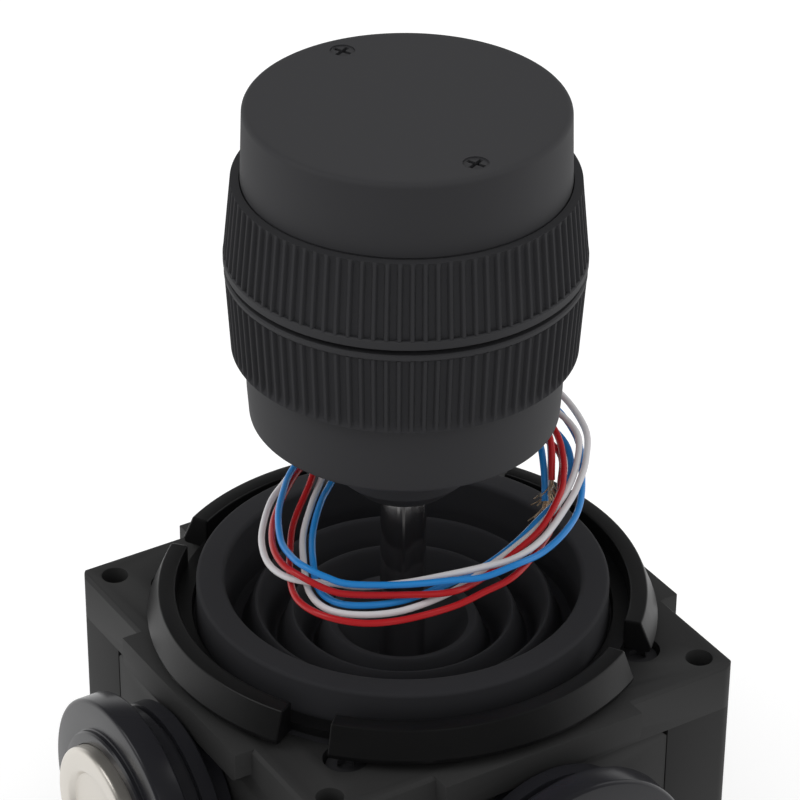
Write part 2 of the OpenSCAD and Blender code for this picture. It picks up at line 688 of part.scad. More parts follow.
// Points of each lead, in a frame whose +Y axis points out of the hub's outlet
lead_blue = [[-1.3, 6.4, 29], [-1.3, 9, 29], [0.5, 13, 28.5], [6, 16.5, 28], [13, 16, 27],
    [19, 12, 26], [22.5, 6.5, 24], [23, 0.5, 22], [22.5, -4.5, 20.5], [20.6, -9.6, 20.2],
    [17.5, -13.5, 19.5], [14, -17, 20], [10, -19, 19.5], [6, -20.5, 20], [0, -21.5, 20],
    [-6.5, -21.5, 20], [-9.5, -20.8, 20.5], [-12.5, -19, 21], [-14.2, -16, 20.5], [-15.5, -12, 20],
    [-16, -6, 20], [-15.5, -0.5, 20], [-14.5, 4.5, 20], [-11.5, 9.5, 21], [-7, 13, 22], [-1, 15, 23],
    [5.5, 15.2, 24], [12, 13.5, 24.7], [17.5, 9.5, 25], [21, 5, 24], [21.5, 0, 22.5], [20, -4, 21.5],
    [17.5, -7.5, 20.8], [14, -11, 19], [10, -14, 17.5], [5.5, -17.5, 17.3], [0, -21.5, 17.6],
    [-5, -22.5, 17.5], [-8.5, -21.5, 17.3], [-10.7, -18.5, 17.3], [-11.4, -14, 18.1], [-11.6, -8, 18.2],
    [-10.9, -3, 19], [-9.7, 2, 19], [-7, 7.5, 20.5], [-2.5, 11.2, 22], [3.5, 11.8, 23.5],
    [9.5, 10.5, 25], [14.5, 7, 26], [17.2, 3, 26], [18, 0.2, 23.5], [18.2, -2.5, 20]];
lead_white = [[0, 6.4, 29], [0, 9, 29], [2, 14, 29.5], [7.5, 17.5, 29], [14, 17, 28.5],
    [20, 12.5, 27.5], [23.5, 6.5, 25.5], [23.5, 1.5, 24], [22.5, -2.5, 23], [21, -6, 22],
    [17.7, -11.9, 20.7], [14, -15.5, 20], [10, -17.5, 20], [5.5, -19.3, 20], [0, -20, 19.2],
    [-5, -20, 18.6], [-9, -19.3, 18.6], [-12.4, -18.5, 18.3], [-15.2, -17, 18.2], [-17.2, -13.5, 17.8],
    [-18.1, -8.5, 17.6], [-17.9, -3, 17.2], [-17.1, 2, 17], [-15.4, 6, 17.3], [-12.5, 11, 19],
    [-8, 14.8, 20.5], [-1.5, 17, 22], [5.5, 17, 23.5], [12.5, 15, 25], [18.6, 10.8, 26.2],
    [22.3, 5, 25.8], [22.3, 0.8, 23.8], [20.6, -4.6, 22.5], [17.5, -9, 20.8], [14, -12.5, 19.5],
    [10, -15.5, 18], [6, -19.3, 17.4], [0, -23.5, 17.5], [-5.4, -24.5, 17.5], [-9.5, -23, 17.3],
    [-11.8, -19, 17.1], [-12.6, -14, 18.2], [-12.8, -8, 18.2], [-12, -3, 19], [-10.9, 2, 19.4],
    [-8.8, 8, 21.5], [-3.5, 12.3, 23.3], [3, 13, 25], [9.5, 11.3, 26.5], [15, 7.5, 27.3],
    [18.3, 4, 26.5], [19, 2.5, 24], [18.9, 1, 19.5]];
lead_red = [[1.3, 6.4, 29], [1.3, 9, 29], [3.5, 12.5, 28.5], [8.5, 14.2, 28], [13.5, 13, 27.3],
    [17.5, 9.5, 26.5], [19.8, 5, 25.5], [20.5, 0.5, 24.6], [20.4, -3, 23.8], [19.8, -6, 23.2],
    [17.4, -10.4, 21.1], [14, -14, 19.8], [10, -17, 18], [6, -21, 18.6], [0, -22, 18.8],
    [-6.5, -22, 18.8], [-9.5, -21.5, 19.2], [-13, -19.5, 19.9], [-15.2, -16.8, 19.8],
    [-16.5, -12.5, 19.5], [-16.7, -6.5, 18.9], [-15.8, -1, 18.8], [-14, 5.5, 18.8], [-11.3, 9.8, 19.5],
    [-7, 12.5, 20.5], [-1, 14, 21.5], [5.5, 13.8, 22.5], [11.5, 12, 23.3], [16.5, 8.5, 23.8],
    [20.2, 4, 23.2], [20.2, -0.5, 21.5], [19.3, -6, 19.5], [17.5, -11, 19], [14, -17, 18.4],
    [10, -19.5, 17.5], [6, -22, 17], [0, -25.5, 17.5], [-5, -26, 17.3], [-9.8, -24.5, 17.3],
    [-13, -21, 17], [-14.2, -16.5, 17], [-14.4, -10, 17.6], [-14, -5, 18.4], [-12.1, 1.5, 20],
    [-10.3, 7.5, 22.5], [-5, 12.5, 24.8], [1.5, 13, 26.8], [8.3, 11.2, 28], [14, 7.5, 28.5],
    [17.8, 3, 28], [18.9, 1, 26.5], [19, -1.5, 22.6]];
module lead(points) { rotate(lead_turn - 90) sweep(points, wire_r, 8); }
module wire_blue() { color([0.16, 0.55, 0.86]) lead(lead_blue); }
module wire_white() { color([0.88, 0.86, 0.88]) lead(lead_white); }
module wire_red() { color([0.75, 0.08, 0.12]) lead(lead_red); }

housing();
top_plate();
plate_screws();
boot_ring();
boot();
bottom_cover();
cover_screws();
pot_panel_x();
pot_panel_y();
bearing_panel_x();
bearing_panel_y();
bush_x();
bush_y();
pot_body_x();
pot_body_y();
pot_cap_x();
pot_cap_y();
pot_nuts();
pot_terminals();
gimbal_frame();
gimbal_shaft();
gimbal_pin();
cross_pin();
pin_clips();
gimbal_arm();
bail();
bail_shaft();
bail_pin();
bail_arm();
centring_spring_x();
centring_spring_y();
shaft();
pivot_block();
tail_roller();
knob_hub();
hub_set_screw();
pot_bracket();
twist_pot();
twist_nut();
knob_bush();
twist_spring();
knob_cap();
knob_base();
upper_grip();
lower_grip();
cap_screws();
twist_shaft();
coupling_screw();
wire_blue();
wire_white();
wire_red();
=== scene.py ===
"""Panel joystick: a ribbed twist knob on a sprung gimbal, dressed piece by piece for display."""
import logging
import math
from dataclasses import dataclass
from enum import Enum
from typing import Optional, Sequence

import bpy
from mathutils import Matrix, Vector


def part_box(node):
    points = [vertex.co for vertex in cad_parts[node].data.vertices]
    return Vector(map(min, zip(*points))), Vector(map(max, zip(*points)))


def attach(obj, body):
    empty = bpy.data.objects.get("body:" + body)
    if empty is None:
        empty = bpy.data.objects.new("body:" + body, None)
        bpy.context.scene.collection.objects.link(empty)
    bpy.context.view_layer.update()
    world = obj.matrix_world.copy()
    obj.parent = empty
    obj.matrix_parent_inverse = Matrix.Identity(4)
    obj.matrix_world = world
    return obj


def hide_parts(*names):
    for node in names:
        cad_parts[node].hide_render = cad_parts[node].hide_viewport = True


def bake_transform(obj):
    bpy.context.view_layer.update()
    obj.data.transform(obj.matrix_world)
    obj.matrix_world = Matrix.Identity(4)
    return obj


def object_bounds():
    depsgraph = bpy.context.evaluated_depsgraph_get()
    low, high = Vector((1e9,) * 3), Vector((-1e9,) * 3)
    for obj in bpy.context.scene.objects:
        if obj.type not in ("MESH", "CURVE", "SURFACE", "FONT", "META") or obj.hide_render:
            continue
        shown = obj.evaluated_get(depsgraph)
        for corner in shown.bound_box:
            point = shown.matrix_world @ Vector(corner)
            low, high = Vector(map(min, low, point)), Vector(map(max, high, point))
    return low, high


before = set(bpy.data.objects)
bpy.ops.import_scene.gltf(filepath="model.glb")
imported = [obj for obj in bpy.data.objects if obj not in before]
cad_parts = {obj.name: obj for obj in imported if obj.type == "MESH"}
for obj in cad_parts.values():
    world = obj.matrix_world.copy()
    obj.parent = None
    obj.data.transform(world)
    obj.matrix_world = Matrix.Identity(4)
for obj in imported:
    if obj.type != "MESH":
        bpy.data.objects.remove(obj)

LOG = logging.getLogger("joystick")
MM = 0.001
FULL_TURN = 2 * math.pi
MERGE = 0.002 * MM
CAD_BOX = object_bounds()
Point = tuple[float, float]


def span(node: str) -> tuple[Vector, Vector]:
    """Gives a node's lowest and highest corner in millimetres.

    Args:
        node: Name of the node.

    Returns:
        The two corners.
    """
    low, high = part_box(node)
    return low / MM, high / MM


class Axis(Enum):
    """The three lines that round pieces are turned about."""

    STICK = "stick"
    LEFT = "left potentiometer"
    FRONT = "front potentiometer"

    @property
    def line(self) -> Vector:
        """Direction of the axis, away from the pivot."""
        return {
            Axis.STICK: Vector((0, 0, 1)),
            Axis.LEFT: Vector((-1, 0, 0)),
            Axis.FRONT: Vector((0, -1, 0)),
        }[self]

    @property
    def centre(self) -> Vector:
        """A point on the axis, in metres."""
        if self is Axis.STICK:
            return Vector((0, 0, 0))
        low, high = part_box("cross_pin")
        return Vector((0, 0, (low.z + high.z) / 2))

    def spot(self, radius: float, along: float) -> Vector:
        """Places a point of a turned outline.

        Args:
            radius: Distance from the axis in millimetres.
            along: Distance along the axis in millimetres.

        Returns:
            The point in metres.
        """
        away = Vector((1, 0, 0)) if self is Axis.STICK else Vector((0, 0, 1))
        return self.centre + (self.line * along + away * radius) * MM


def clear_bench() -> None:
    """Leaves edit mode and selects nothing."""
    if bpy.context.mode != "OBJECT":
        bpy.ops.object.mode_set(mode="OBJECT")
    bpy.ops.object.select_all(action="DESELECT")


def activate(piece: bpy.types.Object) -> None:
    """Makes one piece the only selected and the active one."""
    clear_bench()
    piece.select_set(True)
    bpy.context.view_layer.objects.active = piece


class Relief(Enum):
    """Kinds of fine surface relief."""

    GRAIN = "spark-eroded grain"
    ORANGE = "soft moulded swell"
    LINES = "lines left by turning or drawing"
    CAST = "tumbled casting"


@dataclass(frozen=True)
class Finish:
    """A surface finish: two tones, a range of gloss and the relief that breaks it.

    Attributes:
        name: Name of the material.
        slot: Name of the material slot that it belongs to; not used.
        colour: Main tone, linear.
        second: Tone mixed in by the mottling, linear.
        rough: Least and greatest roughness.
        metal: Whether it is bare metal.
        relief: Kind of relief.
        grain: Width of the relief in millimetres.
        depth: Height of the relief in millimetres.
        stretch: How the relief is drawn out along each axis.
        dust: Share of the surface with pale dust on it.
        shine: Level of the mirror-like part of the reflection.
    """

    name: str
    slot: str
    colour: tuple[float, float, float]
    second: tuple[float, float, float]
    rough: Point
    metal: bool = False
    relief: Relief = Relief.GRAIN
    grain: float = 0.35
    depth: float = 0.01
    stretch: tuple[float, float, float] = (1, 1, 1)
    dust: float = 0.0
    shine: float = 0.5

    def material(self) -> bpy.types.Material:
        """Builds the material once and hands it out after that."""
        made = bpy.data.materials.get(self.name)
        return made or Painter(self).paint()


class Painter:
    """Builds the nodes of one finish."""

    def __init__(self, finish: Finish) -> None:
        """Starts an empty material for a finish."""
        self.finish = finish
        self.stuff = bpy.data.materials.new(finish.name)
        self.stuff.use_nodes = True
        self.tree = self.stuff.node_tree
        self.tree.nodes.clear()

    def node(self, kind: str, inputs: Optional[dict] = None, **settings: object) -> bpy.types.Node:
        """Adds a node.

        Args:
            kind: Node type.
            inputs: Values or output sockets for its inputs, by name or number.
            **settings: Its properties.

        Returns:
            The node.
        """
        made = self.tree.nodes.new(kind)
        for key, value in settings.items():
            setattr(made, key, value)
        for key, value in (inputs or {}).items():
            if isinstance(value, bpy.types.NodeSocket):
                self.tree.links.new(value, made.inputs[key])
            else:
                made.inputs[key].default_value = value
        return made

    def noise(self, size: float, detail: float = 3.0, stretched: bool = False) -> bpy.types.NodeSocket:
        """Adds noise of a given size in millimetres on object coordinates.

        Args:
            size: Width of one grain.
            detail: Octaves of finer noise.
            stretched: Whether the finish's stretch applies.

        Returns:
            The noise value.
        """
        place = self.node("ShaderNodeTexCoord").outputs["Object"]
        if stretched:
            place = self.node(
                "ShaderNodeMapping", {"Vector": place, "Scale": self.finish.stretch}
            ).outputs[0]
        grain = self.node(
            "ShaderNodeTexNoise",
            {"Vector": place, "Scale": 1 / (size * MM), "Detail": detail, "Roughness": 0.6},
        )
        return grain.outputs[0]

    def ramp(self, value: bpy.types.NodeSocket, low: float, high: float,
             start: float = 0.3, end: float = 0.7) -> bpy.types.NodeSocket:
        """Spreads a value between two limits."""
        spread = self.node(
            "ShaderNodeMapRange",
            {"Value": value, "From Min": start, "From Max": end, "To Min": low, "To Max": high},
        )
        return spread.outputs[0]

    def mix(self, share: bpy.types.NodeSocket, first: object, second: object) -> bpy.types.NodeSocket:
        """Mixes two colours."""
        blend = self.node("ShaderNodeMix", data_type="RGBA")
        self.tree.links.new(share, blend.inputs[0])
        for socket, value in ((blend.inputs[6], first), (blend.inputs[7], second)):
            if isinstance(value, bpy.types.NodeSocket):
                self.tree.links.new(value, socket)
            else:
                socket.default_value = (*value, 1)
        return blend.outputs[2]

    def dust_share(self) -> bpy.types.NodeSocket:
        """Gives 1 on small scattered specks of dust."""
        place = self.node("ShaderNodeTexCoord").outputs["Object"]
        cells = self.node("ShaderNodeTexVoronoi", {"Vector": place, "Scale": 1 / (2.6 * MM)})
        near = self.ramp(cells.outputs["Distance"], 1, 0, 0.035, 0.06)
        tone = self.node("ShaderNodeSeparateColor", {"Color": cells.outputs["Color"]}).outputs[0]
        few = self.ramp(tone, 0, 1, 1 - self.finish.dust, 1.001 - self.finish.dust)
        return self.node("ShaderNodeMath", {0: near, 1: few}, operation="MULTIPLY").outputs[0]

    def paint(self) -> bpy.types.Material:
        """Puts the nodes together.

        Returns:
            The material.
        """
        f = self.finish
        cloud = self.noise(9.0, 4.0)
        fine = self.noise(f.grain, 2.0, stretched=f.relief is Relief.LINES)
        colour = self.mix(self.ramp(cloud, 0, 1), f.colour, f.second)
        colour = self.mix(self.ramp(fine, 0, 0.35), colour, f.second)
        rough = self.ramp(cloud, f.rough[0], f.rough[1], 0.25, 0.75)
        height = fine
        if f.relief in (Relief.ORANGE, Relief.CAST):
            swell = self.noise(f.grain * 6, 1.0)
            height = self.node("ShaderNodeMath", {0: fine, 1: swell}, operation="ADD").outputs[0]
        if f.dust:
            specks = self.dust_share()
            colour = self.mix(specks, colour, (0.3, 0.3, 0.3))
            more = self.node("ShaderNodeMath", {0: specks, 1: rough}, operation="MAXIMUM")
            rough = more.outputs[0]
        bump = self.node(
            "ShaderNodeBump", {"Strength": 0.8, "Distance": f.depth * MM, "Height": height}
        )
        shader = self.node(
            "ShaderNodeBsdfPrincipled",
            {
                "Base Color": colour,
                "Roughness": rough,
                "Metallic": 1.0 if f.metal else 0.0,
                "Normal": bump.outputs[0],
                "Specular IOR Level": f.shine,
            },
        )
        self.node("ShaderNodeOutputMaterial", {"Surface": shader.outputs[0]})
        return self.stuff


HOUSING = Finish("housing_black", "housing_black", (0.0044, 0.0044, 0.0047), (0.0066, 0.0066, 0.0069),
                 (0.22, 0.31), grain=0.3, depth=0.01, dust=0.006, shine=1.0)
RUBBER = Finish("boot_rubber", "boot_rubber", (0.0024, 0.0024, 0.0025), (0.0042, 0.0042, 0.0043),
                (0.42, 0.55), relief=Relief.ORANGE, grain=0.5, depth=0.012, dust=0.006, shine=0.2)
RING = Finish("ring_black", "housing_black", (0.0042, 0.0042, 0.0045), (0.0062, 0.0062, 0.0066),
              (0.34, 0.44), grain=0.3, depth=0.012, dust=0.006, shine=0.4)
KNOB = Finish("knob_black", "knob_black", (0.005, 0.005, 0.0052), (0.0075, 0.0075, 0.0077),
              (0.2, 0.28), grain=0.28, depth=0.012, dust=0.006, shine=1.0)
GRIP = Finish("grip_rubber", "grip_rubber", (0.0036, 0.0036, 0.0038), (0.0058, 0.0058, 0.006),
              (0.28, 0.38), relief=Relief.ORANGE, grain=0.4, depth=0.01, dust=0.006, shine=0.5)
BLACK_SCREW = Finish("black_screw", "black_screw", (0.12, 0.12, 0.125), (0.2, 0.2, 0.205),
                     (0.2, 0.32), metal=True, grain=0.25, depth=0.01)
BRIGHT_SCREW = Finish("bright_screw", "bright_screw", (0.5, 0.5, 0.51), (0.36, 0.36, 0.37),
                      (0.22, 0.4), metal=True, grain=0.3, depth=0.008)
SHAFT = Finish("shaft_steel", "shaft_steel", (0.86, 0.82, 0.82), (0.74, 0.7, 0.7), (0.3, 0.42),
               metal=True, relief=Relief.LINES, grain=0.5, depth=0.002, stretch=(1, 1, 14))
ZINC = Finish("cast_zinc", "cast_zinc", (0.46, 0.46, 0.47), (0.34, 0.34, 0.35), (0.38, 0.55),
              metal=True, relief=Relief.CAST, grain=0.5, depth=0.02)
PRESSED = Finish("pressed_steel", "pressed_steel", (0.52, 0.52, 0.53), (0.42, 0.42, 0.43),
                 (0.3, 0.42), metal=True, grain=0.4, depth=0.008)
SPRING = Finish("spring_steel", "spring_steel", (0.4, 0.4, 0.41), (0.28, 0.28, 0.29), (0.25, 0.4),
                metal=True, grain=0.3, depth=0.004)
POT_BLACK = Finish("pot_black", "pot_black", (0.008, 0.008, 0.0085), (0.012, 0.012, 0.0125),
                   (0.24, 0.36), relief=Relief.ORANGE, grain=0.4, depth=0.006, dust=0.006)
POT_METAL = Finish("pot_metal", "pot_metal", (0.66, 0.63, 0.58), (0.52, 0.48, 0.42), (0.18, 0.32),
                   metal=True, relief=Relief.CAST, grain=0.4, depth=0.006)
POT_BLUE = Finish("pot_blue", "pot_blue", (0.02, 0.032, 0.07), (0.03, 0.042, 0.085), (0.3, 0.42),
                  grain=0.4, depth=0.008)
NICKEL = Finish("nickel_nut", "nickel_nut", (0.6, 0.57, 0.51), (0.48, 0.45, 0.4), (0.16, 0.3),
                metal=True, grain=0.4, depth=0.006)
TINNED = Finish("tinned_brass", "tinned_brass", (0.66, 0.6, 0.44), (0.5, 0.42, 0.27), (0.25, 0.4),
                metal=True, grain=0.3, depth=0.006)
STRAND = Finish("tinned_strand", "tinned_brass", (0.95, 0.8, 0.58), (0.85, 0.62, 0.4), (0.4, 0.55),
                metal=True, grain=0.2, depth=0.002)
BRONZE = Finish("bearing_bronze", "bearing_bronze", (0.45, 0.3, 0.14), (0.34, 0.21, 0.09),
                (0.35, 0.5), metal=True, grain=0.25, depth=0.012)
ACETAL = Finish("white_acetal", "white_acetal", (0.75, 0.74, 0.7), (0.68, 0.67, 0.62), (0.3, 0.4),
                grain=0.6, depth=0.006)
BLUE_WIRE = Finish("blue_pvc", "blue_pvc", (0.012, 0.22, 0.66), (0.02, 0.27, 0.72), (0.34, 0.46),
                   relief=Relief.ORANGE, grain=0.5, depth=0.006)
WHITE_WIRE = Finish("white_pvc", "white_pvc", (0.72, 0.7, 0.73), (0.64, 0.62, 0.66), (0.34, 0.46),
                    relief=Relief.ORANGE, grain=0.5, depth=0.006)
RED_WIRE = Finish("red_pvc", "red_pvc", (0.42, 0.006, 0.014), (0.5, 0.012, 0.02), (0.34, 0.46),
                  relief=Relief.ORANGE, grain=0.5, depth=0.006)

CARRIED = {
    HOUSING: ("bottom_cover", "bearing_panel_x", "bearing_panel_y"),
    BLACK_SCREW: ("plate_screws", "hub_set_screw", "coupling_screw", "pin_clips"),
    BRIGHT_SCREW: ("cover_screws",),
    SHAFT: ("twist_shaft", "gimbal_shaft", "gimbal_pin", "cross_pin", "bail_shaft", "bail_pin"),
    ZINC: ("gimbal_frame", "gimbal_arm", "pivot_block", "bail_arm"),
    PRESSED: ("bail", "pot_bracket"),
    SPRING: ("centring_spring_x", "centring_spring_y", "twist_spring"),
    POT_BLUE: ("twist_pot",),
    NICKEL: ("pot_nuts", "twist_nut"),
    TINNED: ("pot_terminals",),
    BRONZE: ("bush_x", "bush_y"),
    ACETAL: ("tail_roller", "knob_bush"),
}


def dress(piece: bpy.types.Object, finish: Finish, body: Optional[str], *nodes: str) -> bpy.types.Object:
    """Gives a finished piece its material and its body, hides the nodes that it replaces and logs where
    it rides.

    Args:
        piece: The piece.
        finish: Its finish.
        body: Name of the body that it rides on, or None where it is left unattached.
        *nodes: Nodes that it replaces.

    Returns:
        The piece.
    """
    piece.data.materials.clear()
    piece.data.materials.append(finish.material())
    if body:
        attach(piece, body)
    if nodes:
        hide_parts(*nodes)
    LOG.info("%s rides on %s in %s", piece.name, body, finish.name)
    return piece


class Bench:
    """One mesh on the bench, shaped with edit-mode tools."""

    def __init__(self, name: str) -> None:
        """Adds a single point to start an outline from."""
        clear_bench()
        bpy.ops.mesh.primitive_plane_add(size=MM)
        self.piece = bpy.context.active_object
        self.piece.name = name
        bpy.ops.object.mode_set(mode="EDIT")
        bpy.ops.mesh.select_mode(type="VERT")
        bpy.ops.mesh.select_all(action="SELECT")
        bpy.ops.mesh.merge(type="CENTER")
        self.last = Vector()

    def trace(self, spots: Sequence[Vector]) -> "Bench":
        """Draws an outline by extruding the last point.

        Args:
            spots: Points of the outline in metres.

        Returns:
            The bench.
        """
        bpy.ops.transform.translate(value=spots[0] - self.last)
        for before, after in zip(spots, spots[1:]):
            bpy.ops.mesh.extrude_vertices_move(TRANSFORM_OT_translate={"value": after - before})
        self.last = spots[-1]
        return self

    def spin(self, axis: Axis, steps: int, angle: float = FULL_TURN, copies: bool = False) -> "Bench":
        """Turns all that is on the bench about an axis.

        Args:
            axis: The axis.
            steps: Number of steps.
            angle: How far it turns, in radians.
            copies: Whether each step is a separate copy.

        Returns:
            The bench.
        """
        bpy.ops.mesh.select_all(action="SELECT")
        bpy.ops.mesh.spin(steps=steps, angle=angle, dupli=copies, center=axis.centre, axis=axis.line)
        return self

    def close(self, smooth: float = 32.0) -> bpy.types.Object:
        """Merges doubles, turns faces outwards and smooths the curved ones.

        Args:
            smooth: Edges sharper than this many degrees stay sharp.

        Returns:
            The finished object.
        """
        bpy.ops.mesh.select_all(action="SELECT")
        bpy.ops.mesh.remove_doubles(threshold=MERGE)
        bpy.ops.mesh.normals_make_consistent(inside=False)
        activate(self.piece)
        bpy.ops.object.shade_smooth_by_angle(angle=math.radians(smooth))
        return self.piece


def turned(name: str, axis: Axis, outline: Sequence[Point], steps: int = 128) -> bpy.types.Object:
    """Turns an outline into a closed round piece.

    Args:
        name: Name of the piece.
        axis: Axis that it is turned about.
        outline: Radius and distance along the axis of each corner, in millimetres.
        steps: Facets round the piece.

    Returns:
        The object.
    """
    spots = [axis.spot(*corner) for corner in outline]
    if outline[0][0] or outline[-1][0]:
        spots.append(spots[0])
    return Bench(name).trace(spots).spin(axis, steps).close()


def arc(centre: Point, radius: float, start: float, end: float, steps: int = 4) -> list[Point]:
    """Gives the corners of a rounded edge.

    Args:
        centre: Centre of the rounding.
        radius: Its radius.
        start: First angle in degrees, from outwards towards up.
        end: Last angle in degrees.
        steps: Number of chords.

    Returns:
        The corners.
    """
    angles = [math.radians(start + (end - start) * i / steps) for i in range(steps + 1)]
    return [(centre[0] + radius * math.cos(a), centre[1] + radius * math.sin(a)) for a in angles]


def finish_modifier(piece: bpy.types.Object, kind: str, **settings: object) -> None:
    """Adds a modifier to a piece and applies it.

    Args:
        piece: The piece.
        kind: Type of modifier.
        **settings: Its properties.
    """
    activate(piece)
    modifier = piece.modifiers.new(kind.lower(), kind)
    for key, value in settings.items():
        setattr(modifier, key, value)
    bpy.ops.object.modifier_apply(modifier=modifier.name)


def eased(node: str, width: float, angle: float = 40.0) -> bpy.types.Object:
    """Copies a carried node, merges its triangles and rounds its edges.

    Args:
        node: Name of the node.
        width: Width of the rounding in millimetres.
        angle: Only edges sharper than this many degrees are rounded.

    Returns:
        The copy.
    """
    piece = bpy.data.objects.new(f"{node}_eased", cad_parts[node].data.copy())
    bpy.context.collection.objects.link(piece)
    activate(piece)
    bpy.ops.mesh.customdata_custom_splitnormals_clear()
    bpy.ops.object.mode_set(mode="EDIT")
    bpy.ops.mesh.select_all(action="SELECT")
    bpy.ops.mesh.remove_doubles(threshold=MERGE)
    bpy.ops.mesh.dissolve_limited(angle_limit=math.radians(0.5))
    bpy.ops.object.mode_set(mode="OBJECT")
    finish_modifier(piece, "BEVEL", width=width * MM, segments=2, limit_method="ANGLE",
                    angle_limit=math.radians(angle), use_clamp_overlap=True)
    bpy.ops.object.shade_smooth_by_angle(angle=math.radians(30))
    return piece


